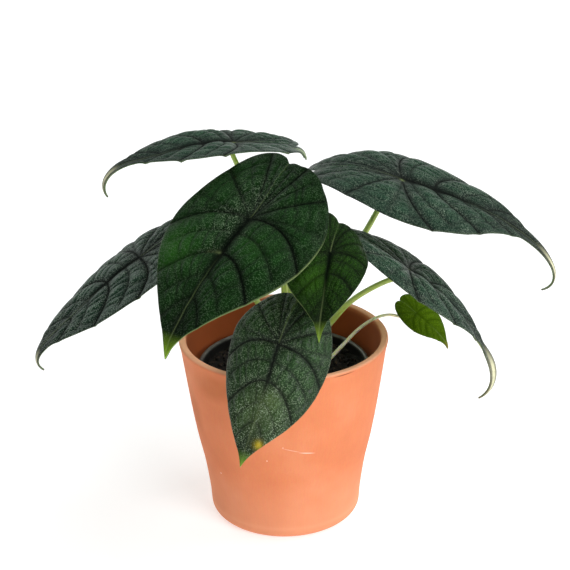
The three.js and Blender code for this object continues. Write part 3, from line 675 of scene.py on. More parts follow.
# %% The midrib as a curve
def spine(leaf):
    """The midrib as a plane curve: pitch at even stations, softened, and its sums out and up."""
    station = np.linspace(SPINE_START, 1, SPINE_STEPS + 1)
    pitch = np.radians(np.interp(station, PITCH_STATIONS, leaf["pitch"]))
    window = 2 * SPINE_SOFTENING + 1
    pitch = np.convolve(np.pad(pitch, SPINE_SOFTENING, mode="edge"), np.full(window, 1 / window), "valid")
    step = leaf["length"] * (station[1] - station[0])
    out, height = (np.concatenate([[0], np.cumsum((f[1:] + f[:-1]) / 2 * step)])
                   for f in (np.cos(pitch), np.sin(pitch)))
    return (station, pitch, out - np.interp(JUNCTION, station, out),
            height - np.interp(JUNCTION, station, height))


print("the young leaf's tip, out and up from its junction in mm:",
      [round(float(part[-1]), 1) for part in spine(LEAVES["young"])[2:]])


# %% From the flat blade into space
def sheet_point(leaf, curve, along, across):
    """A flat place in space: along the midrib's curve, then out over an arc in the cross plane.

    A curl rolls what lies past an X down on a cylinder: (begin + r sin(s d / r), r (1 - cos(s d / r))).
    """
    station, pitch, out, height = curve
    shifted = along + leaf["skew"] * across * np.clip((1 - along) * 2, 0, 1)
    left = across >= 0
    width, slope, bend = (np.where(left, a, b) for a, b in zip(leaf["left"], leaf["right"]))
    heading = np.radians(leaf["heading"])
    tilt = np.interp(shifted, station, pitch)[..., None]
    forward = np.array([np.cos(heading), np.sin(heading), 0])
    level = np.array([-np.sin(heading), np.cos(heading), 0])
    vertical = np.array([0, 0, 1.0])
    upright = np.cross(forward * np.cos(tilt) + vertical * np.sin(tilt), level)
    # A drip tip's own twist grows along its first half.
    twisted = leaf.get("twist", 0) * np.clip((shifted - 1 + leaf["tip"]) / (0.5 * leaf["tip"]), 0, 1)
    roll = np.radians(np.interp(shifted, [0, 1], leaf["roll"]) + twisted)[..., None]
    sideways_axis = level * np.cos(roll) + upright * np.sin(roll)
    normal = upright * np.cos(roll) - level * np.sin(roll)
    reach = np.abs(across) * width
    slope = np.radians(slope)
    bend = np.radians(np.where(bend == 0, 0.001, bend)) / width
    sideways = (np.sin(slope) - np.sin(slope - bend * reach)) / bend
    upwards = (np.cos(slope - bend * reach) - np.cos(slope)) / bend
    place = (np.array(leaf["junction"], float)
             + forward * np.interp(shifted, station, out)[..., None]
             + vertical * np.interp(shifted, station, height)[..., None]
             + sideways_axis * (np.sign(across) * sideways)[..., None]
             + normal * upwards[..., None])
    if "curl" in leaf:
        begin, stretch, radius = leaf["curl"]
        past = np.maximum(place[..., 0] - begin, 0)
        bent = stretch * past / radius
        place[..., 0] += radius * np.sin(bent) - past
        place[..., 2] -= radius * (1 - np.cos(bent))
    return place


def sheet_normal(leaf, curve, along, across, step=0.002):
    """The sheet's upward normal: the cross product of its differences lengthwise and crosswise."""
    lengthwise = (sheet_point(leaf, curve, along + step, across)
                  - sheet_point(leaf, curve, along - step, across))
    crosswise = (sheet_point(leaf, curve, along, across + step)
                 - sheet_point(leaf, curve, along, across - step))
    normal = np.cross(lengthwise, crosswise)
    return normal / np.linalg.norm(normal, axis=-1, keepdims=True)


for name, leaf in LEAVES.items():
    tip_place = sheet_point(leaf, spine(leaf), np.array([1.0]), np.array([0.0]))[0]
    print(f"tip of {name} in mm:", tip_place.round(1))


# %% [markdown]
# ## Veins and quilting
# The blade is quilted: it swells up between the veins and is drawn down along them. So the
# veins come first, as lines on the flat blade. Strong ones run along whole rows, weaker ones
# start part of the way out, and short cross veins tie neighbours together. The height of the
# blade at a place then depends only on how far each vein is: every vein takes away a part that
# falls off as exp(-distance / width). That function has a sharp corner at zero distance, which
# is what makes a crease look pinched and the cushion beside it look full. The midrib lies at
# the bottom of a wider fold, and stands up in it as a thin ridge towards the tip and the notch.

# %% Vein lines
# Row, strength and the shares of the way out where the vein starts and ends.
MAIN_VEINS = [[2, 0.9, 0, 0.97], [4, 0.8, 0, 0.97], [7, 1, 0, 0.99], [9, 1, 0, 0.98], [11, 0.8, 0, 0.96]]
SIDE_VEINS = [[1.1, 0.6, 0.02, 0.85], [3, 0.4, 0.2, 0.9], [5.4, 0.5, 0.12, 0.92], [6.3, 0.35, 0.35, 0.95],
              [8, 0.55, 0.0, 0.9], [10, 0.5, 0.0, 0.9], [12, 0.4, 0, 0.9]]
VEIN_WIDTHS = {"main": 0.027, "side": 0.017, "cross": 0.012}    # as shares of the blade's length
VEIN_POINTS, CROSS_POINTS = 34, 9
# A cross vein ties each of these rows to the next at each of these shares of the way out. Its
# ends move by up to CROSS_SHIFT, the far one lies nearer the midrib, and it bows to one side.
SPACED_ROWS = [0.2, 2, 4, 5.4, 7, 8, 9, 10, 11, 12]
CROSS_SHARES = [0.3, 0.46, 0.62, 0.76, 0.88]
CROSS_SHIFT, CROSS_SLANT, CROSS_BOW = 0.05, 0.06, 0.03
CROSS_STRENGTH = 0.25, 0.65


def vein_lines(leaf, seed):
    """Lines on the flat blade in mm, each with its kind, strength and width."""
    draw = np.random.default_rng(seed)
    lines = []

    def lay(kind, row, share, strength):
        """Lays a vein through rows and shares of the way out."""
        line = np.stack(flat_mm(leaf, *flat_place(leaf, row, share)), axis=-1)
        lines.append((kind, line, strength, VEIN_WIDTHS[kind] * leaf["length"]))

    for side in (1, -1):
        for kind, veins in (("main", MAIN_VEINS), ("side", SIDE_VEINS)):
            for row, strength, begin, end in veins:
                lay(kind, row, side * np.linspace(begin, end, VEIN_POINTS), strength)
        for low, high in zip(SPACED_ROWS[:-1], SPACED_ROWS[1:]):
            for share in CROSS_SHARES:
                start = share + draw.uniform(-CROSS_SHIFT, CROSS_SHIFT)
                end = share + draw.uniform(-CROSS_SHIFT, CROSS_SHIFT) - CROSS_SLANT
                t = np.linspace(0, 1, CROSS_POINTS)
                bow = CROSS_BOW * np.sin(np.pi * t) * draw.choice([-1, 1])
                path = side * np.clip(start + (end - start) * t + bow, 0, 0.96)
                lay("cross", low + (high - low) * t, path, draw.uniform(*CROSS_STRENGTH))
    return lines


def distance_to(line, x, y):
    """Distance from each place to a line: the least over its pieces, met square or at an end."""
    start, end = line[:-1], line[1:]
    step = end - start
    length = np.maximum((step ** 2).sum(axis=1), 1e-9)
    reach_x, reach_y = x[..., None] - start[:, 0], y[..., None] - start[:, 1]
    share = np.clip((reach_x * step[:, 0] + reach_y * step[:, 1]) / length, 0, 1)
    off_x, off_y = reach_x - share * step[:, 0], reach_y - share * step[:, 1]
    return np.sqrt((off_x ** 2 + off_y ** 2).min(axis=-1))


print("vein lines on a blade:", len(vein_lines(LEAVES["young"], 18)))

# %% Quilting
# A vein pinches the blade with a wide part and a narrow one, four times as narrow.
WIDE_PINCH, NARROW_PINCH, NARROWER = 0.62, 0.38, 0.25
# Each kind of vein also gets a line of painted shade in the colour: its darkness and reach.
DARK_LINES = {"main": (1, 0.85), "side": (1, 0.85), "cross": (0.5, 0.55)}    # darkness, reach in mm
# The fold is deepest in front of the junction and runs out along the seam behind it. Its reach
# and the half widths of its line of painted shade are shares of the blade's length.
FOLD_DEPTH, SEAM_DEPTH, SEAM_RUN, FOLD_REACH = 0.95, 0.8, 0.35, 0.03
FOLD_STATIONS, FOLD_LINE = [0, 0.22, 0.35], [0.026, 0.022, 0.011]
KNOT_REACH = 0.018                 # of the knot of painted shadow where the stalk joins
RIDGE_HEIGHT, RIDGE_WIDTH = 0.16, 0.9                  # a share of the relief, and mm


def quilting(leaf, lines, x, y, row, share, creased, fold_width):
    """Height from 0 to 1, and the painted shade of the pinched blade, from how close the veins are.

    height = product over veins of 1 - strength (wide exp(-d / width) + narrow exp(-4 d / width))
    at distance d, the midrib among them, plus a thin ridge along the midrib and the seam. The
    darkness is painted shade in the creases, in the fold along the midrib and round the junction.
    creased scales that painted shade on the left and on the right, and fold_width the fold along
    the midrib.
    """
    size = leaf["length"]
    height = np.ones_like(x)
    crease = np.zeros_like(x)
    for kind, line, strength, width in lines:
        distance = distance_to(line, x, y)
        pinch = (WIDE_PINCH * np.exp(-distance / width)
                 + NARROW_PINCH * np.exp(-distance / (NARROWER * width)))
        height *= 1 - strength * pinch
        painted_shade, reach = DARK_LINES[kind]
        crease = np.maximum(crease, painted_shade * strength * np.exp(-distance / reach))
    ahead = x > JUNCTION * size
    from_midrib = np.where(ahead, np.abs(y), np.hypot(y, SEAM_RUN * (x - JUNCTION * size)))
    height *= 1 - np.where(ahead, FOLD_DEPTH, SEAM_DEPTH) * np.exp(-from_midrib / (FOLD_REACH * size))
    # The two sides' own painted shade blends within 3 mm of the midrib.
    crease *= np.interp(y, [-3, 3], creased[::-1])
    beyond = x / size - JUNCTION
    fold = fold_width * size * np.interp(beyond, FOLD_STATIONS, FOLD_LINE)
    crease = np.maximum(crease, ahead * np.exp(-(y / fold) ** 2))
    from_junction = np.hypot(y, beyond * size)
    crease = np.maximum(crease, np.exp(-from_junction / (KNOT_REACH * size)))
    # The ridge fades out round the junction.
    ridge = RIDGE_HEIGHT * np.exp(-(y / RIDGE_WIDTH) ** 2)
    ridge *= np.clip(np.abs(beyond - 0.06) * 8 - 1.2, 0, 1)
    height = height + ridge
    crease = crease * (1 - np.clip(ridge * 5, 0, 0.8))
    # The relief fades towards the drip tip and the margin.
    fade = np.clip(TIP_ROW + 0.5 - row, 0.25, 1) * (1 - 0.7 * np.clip((np.abs(share) - 0.6) / 0.4, 0, 1) ** 2)
    return height * fade, crease


print("height left in the middle of the first main vein:", round(1 - MAIN_VEINS[0][1], 2))

# %% [markdown]
# ## Leaf finishes
# The top of the blade is a thick, waxy skin covered in pebbles just under a millimetre across,
# so a soft light breaks up into many small glints. Pale specks on the tops of the pebbles are
# painted highlights that stand in for these glints, denser in some places than in others. The
# colour is a very dark green, turned almost black in the creases and darker down in the valleys
# by painted shade, and the creases are quite matt. Patches of lighter green are painted light.
# It turns to cream or to fresh green at the drip tip. The underside is matt and pale, with the
# ribs standing out. Pebbles are drawn on the flat blade's own UV map, in metres, so they follow
# the surface and keep their size.

# %% Leaf top finish
LEAF_IOR = 1.45
PEBBLE = 0.82 * MM                 # a pebble of the skin
VEINLET = 3.4 * MM                 # the net between the finest veins
LEAF_CLOUD = 14 * MM               # a lighter or darker patch
GLINT_FIELD = 9 * MM                 # a patch where the painted glint specks are dense
PAINTED_CREASE_SHADE, LEAF_PALE, LEAF_YELLOW = "#020603", "#9fb375", "#a89210"


def leaf_top(name, deep, plain, lit_patch, tip_colour, roughness, specular, glint_specks, crease_shade=0.9):
    """Waxy pebbled leaf skin in a leaf's own greens."""
    material, tree = start_material(name)
    uv = add(tree, "UVMap", uv_map=FLAT_MAP).outputs["UV"]
    mark = {label: add(tree, "Attribute", attribute_name=label).outputs["Fac"]
            for label in ("crease", "swell", "lit_patch", "pale", "tip", "yellow", "glinted")}
    cloud = add(tree, "TexNoise", {"Scale": 1 / LEAF_CLOUD, "Detail": 3}, {"Vector": uv}).outputs["Fac"]
    field = add(tree, "TexNoise", {"Scale": 1 / GLINT_FIELD, "Detail": 2}, {"Vector": uv}).outputs["Fac"]
    pebbles = add(tree, "TexVoronoi", {"Scale": 1 / PEBBLE}, {"Vector": uv}).outputs["Distance"]
    net = add(tree, "TexVoronoi", {"Scale": 1 / VEINLET}, {"Vector": uv},
              feature="DISTANCE_TO_EDGE").outputs["Distance"]
    # A pattern read between two of its values gives a level between two others.
    level = {}
    for label, pattern, low, high, low_level, high_level in (
            ("cloud", cloud, 0.3, 0.7, 0.7, 1.3), ("grain", pebbles, 0.6, 0.1, 0.35, 1.4),
            ("top", pebbles, 0.5, 0, 0, 1), ("dot", pebbles, 0.45, 0.12, 0, 1),
            ("dense", field, 0.42, 0.65, 0.35, 1), ("net", net, 0, 0.25, 0, 1),
            ("dull", mark["crease"], 0, 1, roughness, 1)):
        level[label] = add(tree, "MapRange", {"From Min": low, "From Max": high, "To Min": low_level,
                                              "To Max": high_level}, {"Value": pattern}).outputs["Result"]
    # The colour runs from deep to plain green with the cloud, the swell and the pebble grain, so the valleys
    # are darker as painted shade, and the pebble tops are lighter and their edges darker as painted highlight
    # and shade. The specks are painted glints.
    share, speck = level["cloud"], level["dot"]
    for factor in (mark["swell"], level["grain"]):
        share = add(tree, "Math", links={0: share, 1: factor}, operation="MULTIPLY").outputs[0]
    for factor in (level["dense"], mark["glinted"]):
        speck = add(tree, "Math", links={0: speck, 1: factor}, operation="MULTIPLY").outputs[0]
    # The creases get painted shade, nearly black.
    shade = add(tree, "Math", {1: crease_shade}, {0: mark["crease"]}, operation="MULTIPLY").outputs[0]
    colour = lay_over(tree, deep, [
        (share, plain), (mark["lit_patch"], lit_patch), (speck, glint_specks), (shade, PAINTED_CREASE_SHADE),
        (mark["tip"], tip_colour), (mark["pale"], LEAF_PALE), (mark["yellow"], LEAF_YELLOW)])
    netted = add(tree, "Bump", {"Strength": 0.5, "Distance": 0.25 * MM}, {"Height": level["net"]})
    pebbled = add(tree, "Bump", {"Strength": 1.0, "Distance": 0.4 * MM},
                  {"Height": level["top"], "Normal": netted.outputs["Normal"]})
    finish_material(material, {"IOR": LEAF_IOR, "Specular IOR Level": specular},
                    {"Base Color": colour, "Roughness": level["dull"],
                     "Normal": pebbled.outputs["Normal"]})
    return material


# Each in order: deep green, which the valleys take as painted shade, plain green, the green of
# the patches of painted light, the tip, roughness, specular level and the painted glint specks.
waxy_blue = leaf_top("waxy_blue_green_leaf", "#07130f", "#335f43", "#2c5a30", "#d9d6b4", 0.32, 0.16,
                     "#b9c8b2")
waxy_green = leaf_top("waxy_deep_green_leaf", "#071405", "#1c4718", "#2b6018", "#7fa52a", 0.34, 0.06,
                      "#8ba082")
waxy_fresh = leaf_top("waxy_fresh_green_leaf", "#061202", "#1e4209", "#3a660c", "#799733", 0.42, 0.05,
                      "#5b7840")
waxy_grey = leaf_top("waxy_grey_green_leaf", "#0a1a08", "#2f5625", "#5c7040", "#6f9a24", 0.32, 0.26,
                     "#a9bc9c")
waxy_young = leaf_top("waxy_olive_young_leaf", "#3a5402", "#5a7a03", "#6b8c0c", "#8a7420", 0.5, 0.06,
                      "#6b8c0c", crease_shade=0.14)

# %% Leaf underside finish
UNDER_GREEN, UNDER_PALE = "#7e9468", "#96a97e"
UNDER_RIB, UNDER_TIP, UNDER_EDGE = "#c2cc9c", "#dedcbc", "#4b6236"
UNDER_CLOUD = 5 * MM
leaf_under, tree = start_material("matt_leaf_underside")
uv = add(tree, "UVMap", uv_map=FLAT_MAP).outputs["UV"]
crease, tip, edging = (add(tree, "Attribute", attribute_name=label).outputs["Fac"]
                       for label in ("crease", "tip", "edging"))
cloud = add(tree, "TexNoise", {"Scale": 1 / UNDER_CLOUD, "Detail": 4}, {"Vector": uv})
tip = add(tree, "MapRange", {"From Max": 0.4}, {"Value": tip}).outputs["Result"]
colour = lay_over(tree, UNDER_GREEN, [(cloud.outputs["Fac"], UNDER_PALE), (crease, UNDER_RIB),
                                      (tip, UNDER_TIP), (edging, UNDER_EDGE)])
net = add(tree, "TexVoronoi", {"Scale": 1 / VEINLET}, {"Vector": uv}, feature="DISTANCE_TO_EDGE")
ribs = add(tree, "Bump", {"Strength": 0.4, "Distance": -0.3 * MM}, {"Height": net.outputs["Distance"]})
finish_material(leaf_under, {"Roughness": 0.62, "IOR": LEAF_IOR},
                {"Base Color": colour, "Normal": ribs.outputs["Normal"]})

# %% [markdown]
# ## The blades
# Each blade is one grid from the right margin over the midrib to the left margin, with one
# copy for the top and one for the underside. They run together along the margin, where the
# thickness falls to nothing along a quarter of a circle, so the edge is rounded without a
# separate strip. Numbers for the material, such as how close a vein is, are kept on the points:
# a leaf has its own places of painted light, yellow places and places dense in painted glint
# specks, and its margin may be pale on one side.

# %% Blade builder
ROWS_PER_POINT, COLUMNS, EDGE_COLUMNS = 11, 54, 4
EDGE_ROUNDING = 0.03               # share of the half width over which the margin is rounded
MIDRIB_DEPTH, MIDRIB_WIDTH, SIDE_RIB_DEPTH = 1.1, 1.4, 0.5      # mm, on the underside
# Where a drip tip's own colour starts and how far it takes to grow, in tip lengths, and how
# green its edge stays.
GREEN_TIP, CREAM_TIP = (1.1, 1.1, 0), (0.8, 0.35, 0.9)


def make_blade(name, seed, material, lit_patches=(), pale_knots=(), spots=(), glinted=(), glint_specks=0.4,
               rows_per_point=ROWS_PER_POINT, columns=COLUMNS, pale_margin=(0.08, 0.08), midrib_pale=0.15,
               drip_tip=GREEN_TIP, creased=(1, 1), fold_width=1):
    """A quilted blade. Lists of places give it patches of painted light, pale knots, yellow spots and places
    dense in painted glint specks.
    """
    leaf = LEAVES[name]
    curve = spine(leaf)
    rows = np.linspace(0, LAST_ROW, LAST_ROW * rows_per_point + 1)
    # Columns lie a little closer at the midrib, and the last few round the margin.
    inner = np.linspace(0, 1 - EDGE_ROUNDING, columns + 1) ** 1.1
    edge = 1 - EDGE_ROUNDING * (1 - np.sin(np.linspace(0, np.pi / 2, EDGE_COLUMNS + 1)[1:]))
    half = np.concatenate([inner / inner[-1] * (1 - EDGE_ROUNDING), edge])
    shares = np.concatenate([-half[:0:-1], half])
    row, share = np.meshgrid(rows, shares, indexing="ij")
    along, across = flat_place(leaf, row, share)
    x, y = flat_mm(leaf, along, across)
    lines = vein_lines(leaf, seed)
    height, crease = quilting(leaf, lines, x, y, row, share, creased, fold_width)
    point = sheet_point(leaf, curve, along, across)
    normal = sheet_normal(leaf, curve, along, across)
    to_edge = np.clip((np.abs(share) - (1 - EDGE_ROUNDING)) / EDGE_ROUNDING, 0, 1)
    thickness = BLADE_THICKNESS * np.sqrt(1 - to_edge ** 2)
    rib = MIDRIB_DEPTH * np.exp(-np.abs(y) / MIDRIB_WIDTH)
    rib *= np.clip((1 - along) * 3, 0, 1) * (along > 0.02)
    ribs = rib + SIDE_RIB_DEPTH * crease * (1 - to_edge)
    middle = RELIEF * leaf["length"] * height - BLADE_THICKNESS / 2
    top = point + normal * (middle + thickness / 2)[..., None]
    under = point + normal * (middle - thickness / 2 - ribs * (1 - to_edge))[..., None]
    points = np.concatenate([top.reshape(-1, 3), under.reshape(-1, 3)]) * MM
    sheet = grid_quads(len(rows), len(shares))
    quads = [sheet[:, ::-1], sheet + row.size]

    def near(places):
        """Sum of strength exp(-(distance / radius)^2) over places given as row, share, radius, strength."""
        total = np.zeros_like(x)
        for place_row, place_share, radius, strength in places:
            cx, cy = flat_mm(leaf, *flat_place(leaf, place_row, place_share))
            total += strength * np.exp(-((x - cx) ** 2 + (y - cy) ** 2) / radius ** 2)
        return np.clip(total, 0, 1)

    # Thin pale lines run along the seam and the outer half of the midrib.
    seam = np.exp(-(y / 0.45) ** 2) * np.clip((JUNCTION - along) * 8, 0, 0.14)
    midrib = np.exp(-(y / 0.5) ** 2) * np.clip((along - 0.5) * 4, 0, 1) * midrib_pale
    edging = np.clip((np.abs(share) - 0.55) / 0.3, 0, 1)
    start, reach, edged = drip_tip
    tip = np.clip((along - 1 + start * leaf["tip"]) / (reach * leaf["tip"]), 0, 1) ** 1.2
    tip = tip * (1 - edged * edging)
    # The margin is pale only in front of row 5.
    low_margin = np.clip(row - 5.2, 0, 1) * np.clip((np.abs(share) - 0.985) / 0.015, 0, 1)
    margin = np.where(share >= 0, pale_margin[0], pale_margin[1]) * low_margin
    # On the top, crease and swell set the painted shade along the veins and down in the valleys.
    marks = {
        "crease": crease,
        "swell": height,
        "lit_patch": near(lit_patches),
        "pale": np.clip(np.maximum.reduce([seam, midrib, margin, near(pale_knots)]), 0, 1),
        "tip": tip,
        "edging": edging,
        "yellow": near(spots),
        "glinted": np.clip(glint_specks + near(glinted), 0, 1),
    }
    both = {label: np.concatenate([values.ravel()] * 2) for label, values in marks.items()}
    uv = np.concatenate([np.stack([x, y], axis=-1).reshape(-1, 2)] * 2) * MM
    make_piece(f"leaf_{name}", points, quads, [material, leaf_under], [f"blade_{name}"],
               uv=uv, marks=both)


# %% Blades
# Patches of painted light, and places dense in painted glint specks, sit where light falls on each blade.
make_blade("top_left", 11, waxy_blue, drip_tip=CREAM_TIP, glint_specks=0.3,
           pale_knots=[[2.6, 0.97, 6, 0.8], [7, 0.04, 1.5, 0.5]])
make_blade("front_large", 12, waxy_green, glint_specks=0.25, pale_margin=(0.45, 0.05),
           midrib_pale=0.14, creased=(1, 0.45), fold_width=1.15,
           lit_patches=[[8.4, -0.85, 15, 0.4], [8.2, 0.4, 10, 0.15]],
           pale_knots=[[9, -0.06, 1.1, 0.2], [9, -0.12, 1.1, 0.14], [9, -0.2, 1.1, 0.1],
                       [9, -0.28, 1.1, 0.08]],
           glinted=[[8, -0.22, 13, 0.8], [5.6, -0.25, 12, 0.8], [0.6, 0.4, 12, 0.7], [3, -0.4, 12, 0.4]])
make_blade("far_left", 13, waxy_blue, drip_tip=CREAM_TIP, glint_specks=0.65, fold_width=0.6)
make_blade("upper_right", 14, waxy_blue, drip_tip=CREAM_TIP, glint_specks=0.55,
           pale_knots=[[7, -0.05, 1.8, 0.35]])
make_blade("lower_right", 15, waxy_blue, drip_tip=(1, 0.35, 0.75), glint_specks=0.55,
           pale_knots=[[7, -0.05, 1.5, 0.5]])
make_blade("front_small", 16, waxy_fresh, glint_specks=0.25, pale_margin=(0.1, 0.35),
           midrib_pale=0.14, creased=(0.55, 0.4), lit_patches=[[9, -0.5, 10, 0.2]])
make_blade("front_low", 17, waxy_grey, glint_specks=0.4, pale_margin=(0.1, 0.2),
           midrib_pale=0.1, creased=(0.85, 0.8), fold_width=0.5,
           lit_patches=[[9.6, 0.3, 6, 0.3], [10.6, 0, 16, 0.3]],
           spots=[[11.3, 0.88, 2.8, 0.9]], glinted=[[4, -0.3, 12, 0.4], [10.4, 0.1, 22, 1.0]])
make_blade("young", 18, waxy_young, rows_per_point=7, columns=26)

# %% [markdown]
# ## Petioles
# A petiole is the leaf's stalk. It is smooth, juicy and yellow-green, so full of water that
# some of the light that enters comes out a millimetre further on. It is thicker at the foot,
# where it sheathes the crown, and shallowly grooved along its upper side. A curve object with
# a bevel would give a plain round tube, so the section is worked out here and carried along
# the route, with its groove kept to the upper side all the way.

# %% Petiole finish
STALK_FLECK = 1.5 * MM
SHEATH_PALE = "#c9c99a"


def petiole_skin(name, pale, plain, painted_shade):
    """Smooth wet-looking stalk skin, with painted shade along its upper side and fine lengthwise flecks."""
    material, tree = start_material(name)
    uv = add(tree, "UVMap", uv_map=FLAT_MAP).outputs["UV"]
    upper, foot = (add(tree, "Attribute", attribute_name=label).outputs["Fac"]
                   for label in ("upper", "foot"))
    stretch = add(tree, "Mapping", {"Scale": (1, 0.2, 1)}, {"Vector": uv})
    fleck = add(tree, "TexNoise", {"Scale": 1 / STALK_FLECK, "Detail": 3},
                {"Vector": stretch.outputs["Vector"]})
    level = add(tree, "MapRange", {"From Min": 0.3, "From Max": 0.7}, {"Value": fleck.outputs["Fac"]})
    # The upper side is darkened with painted shade.
    colour = lay_over(tree, plain, [(level.outputs["Result"], pale), (upper, painted_shade), (foot, SHEATH_PALE)])
    bump = add(tree, "Bump", {"Strength": 0.25, "Distance": 0.15 * MM}, {"Height": fleck.outputs["Fac"]})
    finish_material(material, {"Roughness": 0.4, "IOR": 1.42, "Subsurface Weight": 0.5,
                               "Subsurface Scale": 1 * MM, "Subsurface Radius": (0.8, 1.0, 0.3)},
                    {"Base Color": colour, "Normal": bump.outputs["Normal"]})
    return material


juicy_green = petiole_skin("juicy_green_petiole", "#bed076", "#a9bf5e", "#7b983c")
juicy_pale = petiole_skin("juicy_pale_petiole", "#f2f2d8", "#ecebcb", "#dde0b6")

# %% Petiole routes
CROWN_CENTRE = np.array([6.0, 7.0])
STEM_RING = 9
STEM_FOOT, STEM_TOP, STEM_UPRIGHT = 93, 107, 4
ROUTE_STEPS, SIDES = 120, 20
# Foot (angle round the crown, or a place), radii at foot and top, and the points passed on the way.
STEMS = {
    "top_left": [110, 2.4, 1.7, [[5, 15, 140], [4, 15, 166], [-14, 26, 212], [-30, 41, 242]]],
    "front_large": [225, 2.6, 1.9, [[0, -3, 140], [1, -12, 173], [-4, -32, 209]]],
    "far_left": [168, 2.4, 1.7, [[-9, 6, 138], [-21, 4, 160], [-52, 6, 177], [-84, 9, 181]]],
    "upper_right": [62, 2.6, 1.9, [[16, 18, 128], [30, 26, 148], [44, 36, 170], [58, 43, 191],
                                   [75, 50, 217]]],
    "lower_right": [13, 2.4, 1.8, [[21, 7, 123], [33, 0, 142], [45, -8, 160], [58, -14, 172],
                                   [72, -19, 181]]],
    "front_small": [325, 2.1, 1.5, [[12, -5, 138], [15, -20, 168], [24, -47, 200]]],
    "front_low": [275, 2.2, 1.6, [[6, -10, 136], [4, -36, 158], [0, -66, 163]]],
    "young": [[28, 6], 1.4, 1, [[31, 7, 110], [41, 12, 118], [54, 18, 129], [66, 21, 135.5], [75, 22, 137],
                                [85, 22, 135]]],
}


def petiole_route(name):
    """Points of the stalk's middle in mm, upright at the foot and square to the blade at the top."""
    leaf, (foot, _, top_radius, passed) = LEAVES[name], STEMS[name]
    if not isinstance(foot, list):
        foot = CROWN_CENTRE + STEM_RING * np.array([np.cos(np.radians(foot)), np.sin(np.radians(foot))])
    normal = sheet_normal(leaf, spine(leaf), np.array([JUNCTION]), np.array([0.0]))[0]
    seat = np.array(leaf["junction"], float) - normal * BLADE_THICKNESS
    posts = [[*foot, STEM_FOOT], [*foot, STEM_TOP + STEM_UPRIGHT / 2], [*foot, STEM_TOP + STEM_UPRIGHT],
             *passed, seat - normal * 3 * top_radius, seat]
    return spline(posts, np.linspace(0, len(posts) - 1, ROUTE_STEPS + 1), centripetal=True)


print("stalks:", ", ".join(STEMS))

# %% Petioles
# A stalk swells at its foot and under the blade by a share of its radius, which fades over a
# length in mm. Its groove is a share deep, and deeper by a second share at the foot.
SHEATH_SWELL, SHEATH_LENGTH = 0.22, 9
SEAT_SWELL, SEAT_LENGTH = 0.35, 1.6
GROOVE, SHEATH_GROOVE = 0.12, 0.3
GROOVE_WIDTH = 0.45                # radians


def make_petiole(name, material):
    """A grooved tube: radius r(s) (1 - groove exp(-(angle / width)^2)), the groove kept uppermost."""
    _, foot_radius, top_radius, _ = STEMS[name]
    route = petiole_route(name)
    length = np.concatenate([[0], np.cumsum(np.linalg.norm(np.diff(route, axis=0), axis=1))])
    share = length / length[-1]
    forward = np.gradient(route, axis=0)
    forward /= np.linalg.norm(forward, axis=1, keepdims=True)
    outwards = route[-1] - route[0]
    outwards[2] = 0
    outwards /= np.linalg.norm(outwards)
    # The upper side of a stalk that leans outwards faces up and in, towards the crown.
    upper = np.array([0, 0, 1.0]) - 0.6 * outwards
    upper = upper - forward * (forward @ upper)[:, None]
    upper /= np.linalg.norm(upper, axis=1, keepdims=True)
    across = np.cross(forward, upper)
    angle = np.linspace(0, 2 * np.pi, SIDES, endpoint=False)
    wrapped = np.angle(np.exp(1j * angle))
    above_soil = length - (STEM_TOP - STEM_FOOT)
    sheath = np.exp(-np.clip(above_soil, 0, None) / SHEATH_LENGTH)
    groove = (GROOVE + SHEATH_GROOVE * sheath)[:, None] * np.exp(-(wrapped / GROOVE_WIDTH) ** 2)
    seat = np.exp(-(length[-1] - length) / SEAT_LENGTH)
    radius = foot_radius + (top_radius - foot_radius) * share
    radius = radius * (1 + SHEATH_SWELL * sheath) * (1 + SEAT_SWELL * seat)
    radius = radius[:, None] * (1 - groove)
    points = (route[:, None] + upper[:, None] * (radius * np.cos(angle))[..., None]
              + across[:, None] * (radius * np.sin(angle))[..., None])
    points = np.concatenate([route[:1, None] + 0 * points[:1], points, route[-1:, None] + 0 * points[:1]])
    count = len(points)
    # Painted shade on the stalk's upper side, strongest straight up.
    top_shade = np.clip(np.cos(wrapped), 0, 1) ** 2 * 0.75
    marks = {
        "upper": np.tile(top_shade, count),
        "foot": np.repeat(np.concatenate([[1], 0.8 * sheath, [0]]), SIDES),
    }
    ring_length = np.concatenate([[0], length, length[-1:]])
    uv = np.stack(np.broadcast_arrays(angle * foot_radius, ring_length[:, None]), axis=-1)
    uv = uv.reshape(-1, 2) * MM
    make_piece(f"stalk_{name}", points.reshape(-1, 3) * MM, grid_quads(count, SIDES, wrap=True),
               [material], [f"petiole_{name}"], uv=uv, marks=marks)


for leaf_name in STEMS:
    make_petiole(leaf_name, juicy_pale if leaf_name == "young" else juicy_green)

# %% [markdown]
# ## The crown
# Petioles spring from a short thick stem, the crown. Every leaf that has dropped left a ring
# on it, and dry brown scraps of old sheath cling round it. It is hidden from the front, but
# seen from above it shows between the stalks. The rings are waves on a turned profile.

# %% Crown
CROWN_FIBRE = 1.2 * MM
CROWN_GREEN, CROWN_TAN = "#5d5a2c", "#8a7a4c"
crown_skin, tree = start_material("ringed_crown_skin")
coordinates = add(tree, "TexCoord").outputs["Object"]
stretch = add(tree, "Mapping", {"Scale": (1, 1, 0.3)}, {"Vector": coordinates})
fibre = add(tree, "TexNoise", {"Scale": 1 / CROWN_FIBRE, "Detail": 4},
            {"Vector": stretch.outputs["Vector"]})
colour = lay_over(tree, CROWN_GREEN, [(fibre.outputs["Fac"], CROWN_TAN)])
bump = add(tree, "Bump", {"Strength": 0.5, "Distance": 0.3 * MM}, {"Height": fibre.outputs["Fac"]})
finish_material(crown_skin, {"Roughness": 0.75, "IOR": 1.4},
                {"Base Color": colour, "Normal": bump.outputs["Normal"]})

